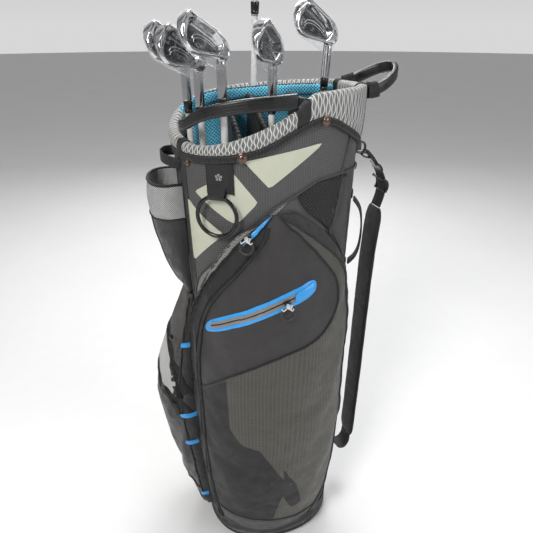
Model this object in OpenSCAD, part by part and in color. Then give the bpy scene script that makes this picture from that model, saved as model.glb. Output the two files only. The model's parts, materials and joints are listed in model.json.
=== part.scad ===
// Golf club set: a cart bag with five irons and one fairway wood.
// +Z is up, the origin is at the middle of the base, -Y is the near flank with the
// apparel pocket, -X is the front with the ball pockets, +X is the spine with the strap.

/* [Bag tube] */
// Half width of the tube at the base, along X
foot_x = 120; // [112:1:128]
// Half width of the tube at the base, along Y
foot_y = 110; // [104:1:116]
// Half width of the tube at the rim, along X
head_x = 145; // [141:1:152]
// Half width of the tube at the rim, along Y
head_y = 115; // [112:1:120]
// How square the tube is in plan (2 is an ellipse)
squareness = 2.3; // [2.2:0.05:2.5]
// Thickness of the tube wall
wall_t = 3; // [2.5:0.1:3.2]
// Height of the moulded base tray
tray_h = 48; // [40:1:56]

/* [Top ring and cuff] */
// Height of the moulded top ring
ring_h = 26; // [20:1:30]
// Thickness of the moulded top ring
ring_t = 3; // [2.4:0.1:3.2]
// How far the padded cuff bulges from the wall
cuff_bulge = 7; // [5:0.5:8]
// Width of the trim strip below the cuff
trim_w = 12; // [10:1:14]

/* [Pockets] */
// Deepest bulge of the apparel pocket
apparel_depth = 44; // [36:1:48]
// Deepest bulge of the ball pocket
ball_depth = 80; // [66:1:84]

/* [Rings] */
// Radius of the towel ring to the middle of its bar
towel_r = 30; // [26:1:32]
// Radius of the towel ring's bar
towel_bar = 3; // [2.4:0.1:3]

/* [Clubs] */
// Length of a grip
grip_l = 265; // [240:5:270]
// Radius of a grip at the butt
grip_r = 12.5; // [11.5:0.5:12.5]
// Radius of a hosel
hosel_r = 6.8; // [6.5:0.1:7]
// Length of a hosel
hosel_l = 50; // [44:1:54]
// Length of a ferrule
ferrule_l = 17; // [12:1:20]

/* [Hidden] */
$fn = 32;

// Height at which the tube has its rim size
rim_ref = 872;
// Thickness of the tray floor, and the gap left between soft parts
floor_t = 6;
gap = 0.4;
// Number of steps round the tube
steps = 60;

// Height of the wall's top edge against the angle round the tube
rim_table = [
    [0, 873], [30, 872], [60, 868], [90, 864], [115, 856], [135, 844], [155, 828], [172, 817],
    [180, 814], [190, 811], [199, 806], [212, 803], [222, 805], [237, 811], [250, 821],
    [260, 831], [268, 842], [273, 854], [279, 872], [300, 875], [330, 875], [360, 873]
];
// Height of the middle of the trim strip against the angle
trim_table = [
    [0, 790], [26, 799], [48, 817], [66, 834], [80, 838], [95, 834], [115, 822], [140, 805],
    [160, 797], [176, 795], [199, 794], [219, 794], [237, 797], [243, 799], [256, 807],
    [267, 822], [273, 836], [280, 843], [287, 845], [294, 839], [312, 819], [334, 799], [360, 790]
];

function mix(a, b, t) = a + (b - a) * t;
function half_x(z) = mix(foot_x, head_x, z / rim_ref);
function half_y(z) = mix(foot_y, head_y, z / rim_ref);
function spow(v) = sign(v) * pow(abs(v), 2 / squareness);
function wall(a, z, out) = [(half_x(z) + out) * spow(cos(a)), (half_y(z) + out) * spow(sin(a)), z];
function wall_normal(a) = [
    sign(cos(a)) * pow(abs(cos(a)), 2 - 2 / squareness) / head_x,
    sign(sin(a)) * pow(abs(sin(a)), 2 - 2 / squareness) / head_y
];
function normal_angle(a) = atan2(wall_normal(a)[1], wall_normal(a)[0]);
function rim(a) = lookup(a % 360, rim_table);
function trim_z(a) = lookup(a % 360, trim_table);
function unit(v) = v / norm(v);

// Skin over rows of points; each row is a closed loop, and loop joins the last row to the first
module skin(rows, loop = false) {
    n = len(rows);
    m = len(rows[0]);
    last = loop ? n - 1 : n - 2;
    sides = [
        for (i = [0:last]) for (j = [0:m - 1])
            let (k = (i + 1) % n, q = (j + 1) % m)
            each [[i * m + j, k * m + q, i * m + q], [i * m + j, k * m + j, k * m + q]]
    ];
    caps = loop ? [] : [[for (j = [0:m - 1]) j], [for (j = [m - 1:-1:0]) (n - 1) * m + j]];
    polyhedron([for (r = rows) for (p = r) p], concat(sides, caps));
}

// Angles of the steps round the tube
function ring_angles() = [for (i = [0:steps - 1]) i * 360 / steps];

// Direction of a path at one of its points
function tangent(p, i) =
    unit(i == 0 ? p[1] - p[0] : i == len(p) - 1 ? p[i] - p[i - 1] : p[i + 1] - p[i - 1]);
// Section [side, up] carried along a path that never runs straight up
function sweep_rows(p, section) = [
    for (i = [0:len(p) - 1])
        let (t = tangent(p, i), s = unit(cross(t, [0, 0, 1])), u = cross(s, t))
        [for (q = section) p[i] + s * q[0] + u * q[1]]
];
// Section [along Y, across] carried along a path in a plane of constant Y
function ribbon_rows(p, section) = [
    for (i = [0:len(p) - 1])
        let (t = tangent(p, i), n = unit(cross([0, 1, 0], t)))
        [for (q = section) p[i] + [0, 1, 0] * q[0] + n * q[1]]
];
// Rounded rectangle as a section
function pill(w, h, r) = [
    for (c = [[1, 1, 0], [-1, 1, 90], [-1, -1, 180], [1, -1, 270]]) for (e = [0, 45, 90])
        [c[0] * (w / 2 - r) + r * cos(c[2] + e), c[1] * (h / 2 - r) + r * sin(c[2] + e)]
];
// Smooth curve through the points of a path
function curve(p, k) = [
    for (i = [0:len(p) - 2]) for (s = [0:k - 1])
        let (a = p[max(i - 1, 0)], b = p[i], c = p[i + 1], d = p[min(i + 2, len(p) - 1)], t = s / k)
        0.5 * (2 * b + (c - a) * t + (2 * a - 5 * b + 4 * c - d) * t * t
            + (3 * b - a - 3 * c + d) * t * t * t),
    p[len(p) - 1]
];

// Pouch on the wall: left, right and depth are tables against the height
function bulge(u, power) = pow(max(0, 1 - pow(abs(2 * u - 1), power)), 1 / power);
function pouch_base(z) = z < tray_h + 4 ? tray_out + 1.6 : 1.1;
function pouch_point(z, u, left, right, depth, power, out) = wall(
    mix(lookup(z, left), lookup(z, right), u), z,
    pouch_base(z) + 2 + lookup(z, depth) * bulge(u, power) + out);
function pouch_row(z, left, right, depth, power, n) = concat(
    [for (i = [0:n]) pouch_point(z, i / n, left, right, depth, power, 0)],
    [for (i = [n:-1:0]) wall(mix(lookup(z, left), lookup(z, right), i / n), z, pouch_base(z))]
);
module pouch(levels, left, right, depth, power = 3, n = 18) {
    skin([for (z = levels) pouch_row(z, left, right, depth, power, n)]);
}

// Puts children on the wall, facing outwards, with X along the wall and Y up
module on_wall(a, z, out) {
    translate(wall(a, z, out)) rotate([90, 0, normal_angle(a) + 90]) children();
}

module torus(r, bar) {
    rotate_extrude($fn = 48) translate([r, 0]) circle(bar, $fn = 16);
}

// How far the tray stands out from the tube, and the height of its narrower foot
tray_out = 6.5;
tray_foot = 14;
function tube_outline(grow) = [for (a = ring_angles())
    [(foot_x + grow) * spow(cos(a)), (foot_y + grow) * spow(sin(a))]];

// ---- Bag structure ----
module base_tray() {
    color("#1b1b1d")
    difference() {
        union() {
            linear_extrude(tray_foot) polygon(tube_outline(-3));
            translate([0, 0, tray_foot]) linear_extrude(tray_h - tray_foot)
                polygon(tube_outline(tray_out));
        }
        translate([0, 0, floor_t]) linear_extrude(tray_h) polygon(tube_outline(2.4));
    }
}

shell_levels = [0, 0.3, 0.55, 0.8, 1];
function shell_row(a) =
    let (top = rim(a), low = floor_t + 0.2)
    concat(
        [for (i = [len(shell_levels) - 1:-1:0]) wall(a, mix(low, top, shell_levels[i]), 0)],
        [for (t = shell_levels) wall(a, mix(low, top, t), -wall_t)]
    );
module body_shell() {
    color("#4a4a4c") skin([for (a = ring_angles()) shell_row(a)], true);
}

// Two rods stiffen the spine from the tray up to the top ring
module body_stays() {
    color("#2a2a2c")
    for (side = [-1, 1]) {
        skin(sweep_rows([
            [foot_x - 24, side * 48, floor_t + 0.5],
            [head_x - 24, side * 48, 838]
        ], pill(5, 5, 2.4)));
    }
}

ring_out = -wall_t - gap;
function ring_row(a) = [
    wall(a, rim(a) - 0.5, ring_out), wall(a, rim(a) - ring_h, ring_out),
    wall(a, rim(a) - ring_h, ring_out - ring_t), wall(a, rim(a) - 0.5, ring_out - ring_t)
];
module top_ring() {
    color("#202022") skin([for (a = ring_angles()) ring_row(a)], true);
}

// Bar that bridges the scoop at the front of the rim
front_path = [
    for (k = [[192, 834, -4], [201, 838, -3], [212, 848, -2], [224, 857, -2], [237, 863, -2],
              [250, 867, -2], [262, 869, -2], [272, 870, -3]])
        wall(k[0], k[1], k[2])
];
module front_handle() {
    color("#262628") skin(sweep_rows(curve(front_path, 3), pill(8, 15, 3)));
}

rear_path = [
    [149, -42, 872], [163, -42, 873], [182, -39, 880], [203, -27, 893], [213, -4, 901],
    [206, 20, 899], [186, 34, 889], [166, 40, 879], [149, 42, 874]
];
module rear_handle() {
    color("#262628") skin(sweep_rows(curve(rear_path, 3), pill(8, 17, 3)));
}

function cuff_row(a) =
    let (top = rim(a), low = min(trim_z(a) + trim_w / 2 + 0.4, top - 3), inner = ring_out - ring_t)
    [
        wall(a, top + 4, cuff_bulge - 1), wall(a, mix(low, top, 0.6), cuff_bulge),
        wall(a, low, cuff_bulge - 2), wall(a, low, gap), wall(a, top + gap, gap),
        wall(a, top + gap, inner - gap), wall(a, top - ring_h - 4, inner - gap),
        wall(a, top - ring_h - 4, inner - 2.6), wall(a, top + 3, inner - 2.6),
        wall(a, top + 7, -4), wall(a, top + 7, 2)
    ];
module cuff_pad() {
    color("#b9bcc0") skin([for (a = ring_angles()) cuff_row(a)], true);
}

function trim_row(a) = let (z = trim_z(a)) [
    wall(a, z + trim_w / 2 - 1, 5.5), wall(a, z - trim_w / 2 + 1, 5.5),
    wall(a, z - trim_w / 2, 4), wall(a, z - trim_w / 2, gap),
    wall(a, z + trim_w / 2, gap), wall(a, z + trim_w / 2, 4)
];
module cuff_binding() {
    color("#232325") skin([for (a = ring_angles()) trim_row(a)], true);
}

stud_places = [[200, 784], [245, 799], [286, 844], [335, 760], [74, 836], [160, 786]];
module snap_studs() {
    color("#3a3533")
    for (s = stud_places) {
        on_wall(s[0], s[1], 6) cylinder(h = 3, r = 5.5);
    }
}

// ---- Dividers ----
bar_y = 35;
bar_path = [[-124, bar_y, 842], [-104, bar_y, 854], [-70, bar_y, 863], [0, bar_y, 867],
            [70, bar_y, 868], [124, bar_y, 866]];
cross_x = [-62, -22, 48];
near_ends = [[-92, 792], [-98, 806], [-96, 858]];
module divider_long_bar() {
    color("#2e9be0") skin(sweep_rows(curve(bar_path, 3), pill(13, 16, 5)));
}
module divider_cross_bars() {
    color("#1c1c1e")
    for (i = [0:2]) {
        x = cross_x[i];
        skin(sweep_rows(curve([
            [x, bar_y - 7.5, 858], [x, 4, 856], [x, -50, mix(856, near_ends[i][1], 0.5)],
            [x, near_ends[i][0], near_ends[i][1]]
        ], 3), pill(8, 14, 3)));
        skin(sweep_rows([[x, bar_y + 7.5, 858], [x, 94, 848]], pill(8, 14, 3)));
    }
}
sheet_low = 640;
module divider_sheets() {
    color("#2277b5") {
        translate([-112, bar_y - 1, sheet_low]) cube([224, 2, 198]);
    }
    color("#1c1c1e")
    for (i = [0:2]) {
        x = cross_x[i];
        translate([x - 0.75, 0, 0]) rotate([90, 0, 90]) linear_extrude(1.5) polygon([
            [bar_y - 1.6, sheet_low], [bar_y - 1.6, 846], [4, 846],
            [near_ends[i][0] + 4, near_ends[i][1] - 10], [near_ends[i][0] + 4, sheet_low]
        ]);
        translate([x - 0.75, 0, 0]) rotate([90, 0, 90]) linear_extrude(1.5)
            polygon([[bar_y + 1.6, sheet_low], [bar_y + 1.6, 846], [96, 838], [96, sheet_low]]);
    }
}

// ---- Pockets ----
apparel_left = [[30, 205], [50, 200], [90, 196], [200, 194], [420, 194], [520, 196], [553, 200],
                [608, 214], [648, 226], [684, 239], [716, 258]];
apparel_right = [[30, 287], [50, 300], [90, 308], [200, 313], [320, 315], [520, 316], [560, 315],
                 [608, 311], [648, 301], [684, 288], [716, 272]];
apparel_bulge = [[30, 0.02], [50, 0.22], [60, 0.36], [90, 0.56], [140, 0.8], [220, 0.97], [320, 1],
                 [430, 0.97], [520, 0.9], [608, 0.68], [648, 0.52], [684, 0.32], [716, 0.05]];
apparel_levels = [30, 50, 60, 90, 140, 220, 320, 430, 520, 565, 608, 648, 684, 716];
function scaled(table, k) = [for (r = table) [r[0], r[1] * k]];
module apparel_pocket() {
    color("#56565a")
    pouch(apparel_levels, apparel_left, apparel_right, scaled(apparel_bulge, apparel_depth - 2));
}
module far_pocket() {
    color("#56565a")
    mirror([0, 1, 0])
    pouch(apparel_levels,
        [[30, 240], [90, 232], [200, 230], [560, 230], [648, 236], [716, 262]],
        apparel_right, scaled(apparel_bulge, apparel_depth - 6));
}

function apparel_at(u, z, out) = pouch_point(z, u, apparel_left, apparel_right,
    scaled(apparel_bulge, apparel_depth - 2), 3, out);

// Puts children on the line from p to q, with X along it and Z towards face
module on_line(p, q, face) {
    x = unit(q - p);
    z = unit(face - x * (face * x));
    y = cross(z, x);
    multmatrix([
        [x[0], y[0], z[0], p[0]], [x[1], y[1], z[1], p[1]], [x[2], y[2], z[2], p[2]], [0, 0, 0, 1]
    ]) children();
}
module zip_slider() {
    difference() {
        translate([-5, -4, 0]) cube([10, 8, 4.4]);
        translate([0, 0, 3]) rotate([90, 0, 0]) cylinder(h = 9, r = 0.8, center = true, $fn = 20);
    }
}
// Ring of a zip pull, hung from the slider by a short cord
pull_r = 8;
pull_drop = 15;
pull_out = 9.3;
module zip_pull(p, q, face) {
    translate([0, 0, -pull_drop]) on_line(p, q, face) translate([0, 0, pull_out]) torus(pull_r, 1.5);
    on_line(p, q, face) translate([0, 0, pull_out]) sphere(1.6);
    hull() {
        on_line(p, q, face) translate([0, 0, pull_out]) sphere(1, $fn = 16);
        translate([0, 0, 1 + pull_r - pull_drop]) on_line(p, q, face)
            translate([0, 0, pull_out]) sphere(1, $fn = 16);
    }
}

// Zip of the apparel pocket: it follows the pocket's edge; its straight top stretch carries
// the slider from zip_top to zip_end
zip_u = [[110, 0.05], [550, 0.05], [627, 0.07], [690, 0.125], [706, 0.2]];
zip_levels = concat([for (z = apparel_levels) if (z >= 90 && z < 700) z], [704]);
zip_out = 8;
zip_top = apparel_at(0.125, 690, zip_out);
zip_end = apparel_at(0.07, 630, zip_out + 2.6);
zip_face = [-0.6, -0.78, 0.1];
// Half width of the track as a share of the pocket, and where it lies over the pocket
track_u = 0.025;
track_low = 1.4;
track_high = 4.6;
module apparel_zip_track() {
    color("#1a1a1c") skin([for (z = zip_levels) let (u = lookup(z, zip_u)) [
        apparel_at(u - track_u, z, track_high), apparel_at(u + track_u, z, track_high),
        apparel_at(u + track_u, z, track_low), apparel_at(u - track_u, z, track_low)
    ]]);
}
module apparel_zip_slider() {
    color("#3a3a3c") on_line(zip_top, zip_end, zip_face) zip_slider();
}
module apparel_zip_pull() {
    color("#4a4a4a") zip_pull(zip_top, zip_end, zip_face);
}

// Waterproof patch across the pocket, with a zip that carries the second slider
patch_u = [0.185, 0.68];
patch_z = [537, 606];
patch_h = 13.5;
function patch_at(t, dz, out) = apparel_at(mix(patch_u[0], patch_u[1], t),
    mix(patch_z[0], patch_z[1], t) + dz, out);
dry_top = patch_at(0.74, 0, 6);
dry_end = patch_at(0.34, 0, 6.4);
dry_face = [-0.1, -0.99, 0.1];
module dry_pocket_patch() {
    color("#2e9be0") skin([for (i = [0:16]) let (t = i / 16,
        h = patch_h * sqrt(1 - pow(max(0, abs(2 * t - 1) - 0.86) / 0.15, 2))) [
        patch_at(t, -h, 0.8), patch_at(t, h, 0.8), patch_at(t, h, 1.8), patch_at(t, -h, 1.8)
    ]]);
}
module dry_zip_slider() {
    color("#3a3a3c") on_line(dry_top, dry_end, dry_face) zip_slider();
}
module dry_zip_pull() {
    color("#4a4a4a") zip_pull(dry_top, dry_end, dry_face);
}

module mesh_pocket() {
    color("#232325")
    pouch([622, 650, 684, 716, 740, 758],
        [[622, 314.5], [650, 304.5], [684, 292], [716, 277], [740, 272], [758, 284]],
        [[622, 318], [758, 311]], [[622, 0.5], [700, 5], [758, 1]]);
}

front_left = [[26, 142], [60, 138], [200, 134], [420, 134], [560, 140]];
front_right = [[26, 182], [60, 186], [200, 191], [420, 191], [560, 188]];
ball_bulge = [[26, 0.1], [50, 0.32], [60, 0.42], [90, 0.52], [140, 0.66], [200, 0.78], [270, 0.92],
              [330, 1], [380, 0.95], [420, 0.79], [440, 0.7], [480, 0.5], [520, 0.28], [554, 0.05]];
function front_at(u, z, out) = pouch_point(z, u, front_left, front_right,
    scaled(ball_bulge, ball_depth - 2), 3, out);
module ball_pocket() {
    color("#4d4d50") pouch([26, 50, 60, 90, 140, 200, 270, 330, 380, 418],
        front_left, front_right, scaled(ball_bulge, ball_depth - 2));
}
module front_upper_pocket() {
    color("#6e7073") pouch([419, 440, 480, 520, 554],
        front_left, front_right, scaled(ball_bulge, ball_depth - 2));
}

// Open sleeve for a bottle, with a hollow inside
pouch_left = [[560, 152], [640, 148], [745, 146]];
pouch_right = [[560, 186], [640, 188], [745, 189]];
pouch_depth = [[556, 8], [600, 26], [660, 42], [710, 48], [745, 46]];
pouch_levels = [556, 600, 660, 710, 745];
function inner_row(z) =
    let (a0 = lookup(z, pouch_left) + 2.5, a1 = lookup(z, pouch_right) - 2.5)
    concat(
        [for (i = [0:14]) wall(mix(a0, a1, i / 14), z,
            max(3.6, lookup(z, pouch_depth) * bulge(0.06 + 0.88 * i / 14, 3) - 1.5))],
        [for (i = [14:-1:0]) wall(mix(a0, a1, i / 14), z, 2.6)]
    );
module drink_pouch() {
    color("#a9abad")
    skin(concat(
        [for (z = pouch_levels) pouch_row(z, pouch_left, pouch_right, pouch_depth, 3, 14)],
        [for (z = [745, 710, 660, 600]) inner_row(z)]
    ));
}

// Sliders of the two front zips, on the near half of the pocket's outer face
ball_top = front_at(0.88, 372, 8);
ball_end = front_at(0.64, 372, 8);
upper_top = front_at(0.88, 470, 7);
upper_end = front_at(0.64, 470, 7);
module ball_zip_slider() {
    color("#3a3a3c") on_line(ball_top, ball_end, [-1, -0.6, 0]) zip_slider();
}
module upper_zip_slider() {
    color("#3a3a3c") on_line(upper_top, upper_end, [-1, -0.6, 0.4]) zip_slider();
}
module far_zip_slider() {
    color("#3a3a3c") on_line([30, 151, 560], [-40, 151, 560], [0, 1, 0]) zip_slider();
}

// ---- Glove tab and towel ring ----
ring_a = 228.5;
ring_top_z = 745;
ring_out_wall = 10;
module glove_tab() {
    color("#1e1e20") {
        skin([for (z = [744, 786]) concat(
            [for (i = [0:6]) wall(mix(221, 238, i / 6), z, 2.6)],
            [for (i = [6:-1:0]) wall(mix(221, 238, i / 6), z, gap + 0.2)])]);
        on_wall(ring_a, ring_top_z, 3) difference() {
            translate([-5, -7, 0.2]) cube([10, 14, 14]);
            translate([0, 0, ring_out_wall - 3]) rotate([0, 90, 0])
                cylinder(h = 12, r = towel_bar + 1.4, center = true);
        }
    }
}
module towel_ring() {
    color("#18181a")
    on_wall(ring_a, ring_top_z, ring_out_wall) translate([0, -towel_r, 0]) torus(towel_r, towel_bar);
}

// ---- Strap ----
strap_y = -12;
module strap_top_ring() {
    color("#1a1a1c") {
        translate([half_x(784) + 6, strap_y - 12, 776]) cube([8, 24, 16]);
        translate([half_x(784) + 19, strap_y, 778]) rotate([90, 0, 0]) torus(9, 2);
    }
}
hook_path = [[177, strap_y, 767], [186, strap_y, 757], [194, strap_y, 746]];
module strap_hook() {
    color("#141416") skin(ribbon_rows(hook_path, pill(14, 7, 2)));
}
upper_path = [[195, strap_y, 744.5], [204, strap_y, 728], [209, strap_y, 712], [207, strap_y, 692],
              [201, strap_y, 672]];
lower_path = [[183, strap_y, 145], [181, strap_y, 128], [172, strap_y, 116], [160, strap_y, 118],
              [150, strap_y, 132]];
module strap_webbing() {
    color("#28282a") {
        skin(ribbon_rows(curve(upper_path, 3), pill(30, 3, 1)));
        skin(ribbon_rows(curve(lower_path, 3), pill(36, 3, 1)));
    }
}
// Middle of each side bar of the adjuster
adjuster_x = 205.5;
adjuster_y = 17.5;
adjuster_z = 712;
module strap_adjuster() {
    color("#101012")
    for (side = [-1, 1]) {
        translate([adjuster_x, strap_y + side * adjuster_y, adjuster_z])
            cube([14, 4, 26], center = true);
    }
}
pad_path = [[200.5, strap_y, 670], [196, strap_y, 620], [193, strap_y, 560], [191, strap_y, 473],
            [189, strap_y, 354], [186, strap_y, 222], [183.2, strap_y, 147]];
module strap_pad() {
    color("#151517") skin(ribbon_rows(curve(pad_path, 3), pill(48, 7, 2.5)));
}
// Webbing grab handle: out from the tube at its own angle
handle_a = 335;
handle_base = wall(handle_a, 650, 0);
handle_path = [[4, 0, 592], [14, 0, 604], [20, 0, 622], [22, 0, 650], [20, 0, 678], [15, 0, 694],
               [6, 0, 706]];
module spine_handle() {
    color("#1a1a1c")
    translate([handle_base[0], handle_base[1], 0]) rotate([0, 0, normal_angle(handle_a)])
        skin(ribbon_rows(curve(handle_path, 3), pill(24, 3, 1)));
}

// ---- Clubs ----
// Each club: point on its axis at the foot of the hosel, butt point, toe direction, loft
club_table = [
    [[-119, 12, 861], [-100, 14], 216, 28],
    [[-108, -28, 857], [-93, -25], 214, 26],
    [[-84, -67, 872], [-72, -62], 212, 32],
    [[-1, -30, 862], [-22, -30], 228, 12],
    [[100, 10, 886], [49, 5], 198, 22],
    [[2, 62, 994], [-28, 60], 75, 16]
];
butt_z = floor_t + 3;
function club_foot(k) = [club_table[k][1][0], club_table[k][1][1], butt_z];
function club_len(k) = norm(club_table[k][0] - club_foot(k));
// Puts children in the club's frame: Z up the shaft, origin at the butt
module on_club(k) {
    d = unit(club_table[k][0] - club_foot(k));
    translate(club_foot(k)) rotate([0, acos(d[2]), atan2(d[1], d[0])])
        rotate([0, 0, -atan2(d[1], d[0])]) children();
}
shaft_butt_r = 7.6;
shaft_tip_r = 4.7;
shaft_end = 24;
function shaft_r(k, z) = mix(shaft_butt_r, shaft_tip_r, (z - 4) / (club_len(k) + shaft_end - 4));

module club_grip(k) {
    color("#1a1a1c") on_club(k) difference() {
        union() {
            cylinder(h = grip_l, r1 = grip_r, r2 = 9.2);
            cylinder(h = 5, r = grip_r + 0.4);
        }
        translate([0, 0, 4]) cylinder(h = grip_l, r1 = shaft_butt_r + 0.05,
            r2 = shaft_r(k, grip_l + 4) + 0.05);
    }
}
module club_shaft(k) {
    color("#e4e2df") on_club(k) translate([0, 0, 4.1])
        cylinder(h = club_len(k) + shaft_end - 4.4, r1 = shaft_butt_r, r2 = shaft_tip_r);
}
module club_ferrule(k) {
    color("#111113") on_club(k) translate([0, 0, club_len(k) - ferrule_l - 0.1]) difference() {
        cylinder(h = ferrule_l, r1 = 6.1, r2 = hosel_r);
        translate([0, 0, -1]) cylinder(h = ferrule_l + 2, r = shaft_r(k, club_len(k) - ferrule_l - 1) + 0.05);
    }
}

// Iron blade: X to the toe, Y to the sole, Z out of the face
blade_outline = [
    [-7, -4], [-7, 8], [-2, 16], [8, 22], [24, 26], [44, 27.5], [62, 26], [74, 20], [80, 10],
    [81, -2], [78, -14], [71, -23], [62, -26], [50, -24], [30, -16], [10, -8]
];
cavity_outline = [[12, -1], [12, 8], [24, 14], [60, 15], [70, 8], [71, -6], [64, -16], [52, -16],
                  [30, -8]];
sole_w = 21;
module iron_blade(loft) {
    back = [26 - sole_w * sin(loft) * 0.6, sole_w * cos(loft)];
    difference() {
        intersection() {
            translate([0, 0, -40]) linear_extrude(40) polygon(blade_outline);
            translate([-20, 0, 0]) rotate([90, 0, 90]) linear_extrude(110) polygon([
                [30, 0], [-30, 0], [-30, -5.5], [-10, -8], [back[0] - 10, -back[1]],
                [back[0] - 1, -back[1]]
            ]);
        }
        translate([0, 0, -43.5]) linear_extrude(40) polygon(cavity_outline);
    }
}
lie = 28;
module iron_head(k) {
    color("#c9ccd0") on_club(k) translate([0, 0, club_len(k)]) {
        difference() {
            union() {
                cylinder(h = hosel_l + 4, r = hosel_r);
                translate([0, 0, hosel_l + 2]) rotate([0, 0, club_table[k][2]])
                    rotate([90, 0, 0]) rotate([0, 0, lie]) rotate([club_table[k][3], 0, 0])
                    iron_blade(club_table[k][3]);
            }
            translate([0, 0, -1]) cylinder(h = shaft_end + 2, r = shaft_r(k, club_len(k) - 1) + 0.05);
        }
    }
}
module wood_head(k) {
    color("#2a2c30") on_club(k) translate([0, 0, club_len(k)]) rotate([0, 0, club_table[k][2]]) {
        difference() {
            union() {
                cylinder(h = 40, r1 = hosel_r, r2 = 8);
                hull() {
                    translate([8, -2, 42]) sphere(12);
                    translate([70, -2, 60]) sphere(16);
                    translate([40, 45, 55]) sphere(17);
                    translate([74, 24, 62]) sphere(16);
                    translate([12, 22, 48]) sphere(14);
                }
            }
            translate([0, 0, -1]) cylinder(h = shaft_end + 2, r = shaft_r(k, club_len(k) - 1) + 0.05);
        }
    }
}
module club_head(k) {
    if (k < 5) iron_head(k);
    else wood_head(k);
}

base_tray();
body_shell();
body_stays();
top_ring();
front_handle();
rear_handle();
cuff_pad();
cuff_binding();
divider_long_bar();
divider_cross_bars();
divider_sheets();
apparel_pocket();
apparel_zip_track();
apparel_zip_slider();
apparel_zip_pull();
dry_pocket_patch();
dry_zip_slider();
dry_zip_pull();
mesh_pocket();
drink_pouch();
front_upper_pocket();
ball_pocket();
upper_zip_slider();
ball_zip_slider();
far_pocket();
far_zip_slider();
glove_tab();
towel_ring();
snap_studs();
strap_top_ring();
strap_hook();
strap_webbing();
strap_pad();
strap_adjuster();
spine_handle();
for (k = [0:5]) {
    club_grip(k);
    club_shaft(k);
    club_ferrule(k);
    club_head(k);
}
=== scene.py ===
import json
import math
import bmesh
import bpy
import numpy as np
from mathutils import Matrix, Vector
from mathutils.bvhtree import BVHTree
from mathutils.geometry import delaunay_2d_cdt


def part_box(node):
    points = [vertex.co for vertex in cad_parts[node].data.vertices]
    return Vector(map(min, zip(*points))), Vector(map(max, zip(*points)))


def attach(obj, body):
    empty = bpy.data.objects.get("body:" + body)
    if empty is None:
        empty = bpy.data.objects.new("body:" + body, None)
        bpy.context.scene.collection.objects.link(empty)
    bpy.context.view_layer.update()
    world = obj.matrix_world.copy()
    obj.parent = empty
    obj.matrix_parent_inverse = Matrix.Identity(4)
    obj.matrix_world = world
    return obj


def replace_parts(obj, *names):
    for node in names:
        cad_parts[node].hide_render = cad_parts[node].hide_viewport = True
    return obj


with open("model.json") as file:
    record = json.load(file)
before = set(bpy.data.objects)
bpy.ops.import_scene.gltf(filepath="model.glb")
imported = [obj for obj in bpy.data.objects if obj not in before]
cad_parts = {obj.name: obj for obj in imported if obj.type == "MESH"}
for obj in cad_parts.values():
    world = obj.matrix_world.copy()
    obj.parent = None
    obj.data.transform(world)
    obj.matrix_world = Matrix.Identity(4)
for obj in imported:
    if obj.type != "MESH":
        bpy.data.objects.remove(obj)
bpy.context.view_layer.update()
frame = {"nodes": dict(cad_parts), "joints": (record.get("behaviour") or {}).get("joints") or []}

# Lengths are millimetres until a mesh is made, and metres in Blender.
MM = 0.001
# Stitch length, the gap after it and the thread's radius
FINE, PLAIN, LONG = (3.0, 1.8, 0.32), (3.0, 1.8, 0.33), (3.2, 2.0, 0.35)
scene = bpy.context.scene

# ---- Camera, light and floor ----
CAMERA_PLACE = (-0.247, -0.761, 0.965)
CAMERA_PITCH, CAMERA_YAW = 26, -18
camera = bpy.data.objects.new("camera", bpy.data.cameras.new("camera"))
camera.location = CAMERA_PLACE
camera.rotation_euler = (math.radians(90 - CAMERA_PITCH), 0, math.radians(CAMERA_YAW))
camera.data.sensor_width = 36
camera.data.lens = 36 * 500 / 533
camera.data.clip_start = 0.02
scene.collection.objects.link(camera)
scene.camera = camera


def area_light(name, place, target, size, power, tint):
    data = bpy.data.lights.new(name, "AREA")
    data.shape, data.size, data.energy, data.color = "DISK", size, power, tint
    light = bpy.data.objects.new(name, data)
    light.location = place
    light.rotation_euler = (Vector(target) - Vector(place)).to_track_quat("-Z", "Y").to_euler()
    scene.collection.objects.link(light)


area_light("key", (-1.5, -1.5, 2.3), (0, 0, 0.55), 0.9, 46, (1, 0.985, 0.96))
area_light("fill", (1.7, -1.9, 1.5), (0, 0, 0.5), 1.4, 20, (0.95, 0.975, 1))
area_light("top", (0.3, 0.5, 2.6), (0, 0, 0.8), 1.0, 26, (1, 1, 1))
area_light("back", (0.6, 2.2, 1.7), (0, 0, 0.7), 1.2, 22, (1, 1, 1))
scene.view_settings.view_transform = "Standard"


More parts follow.
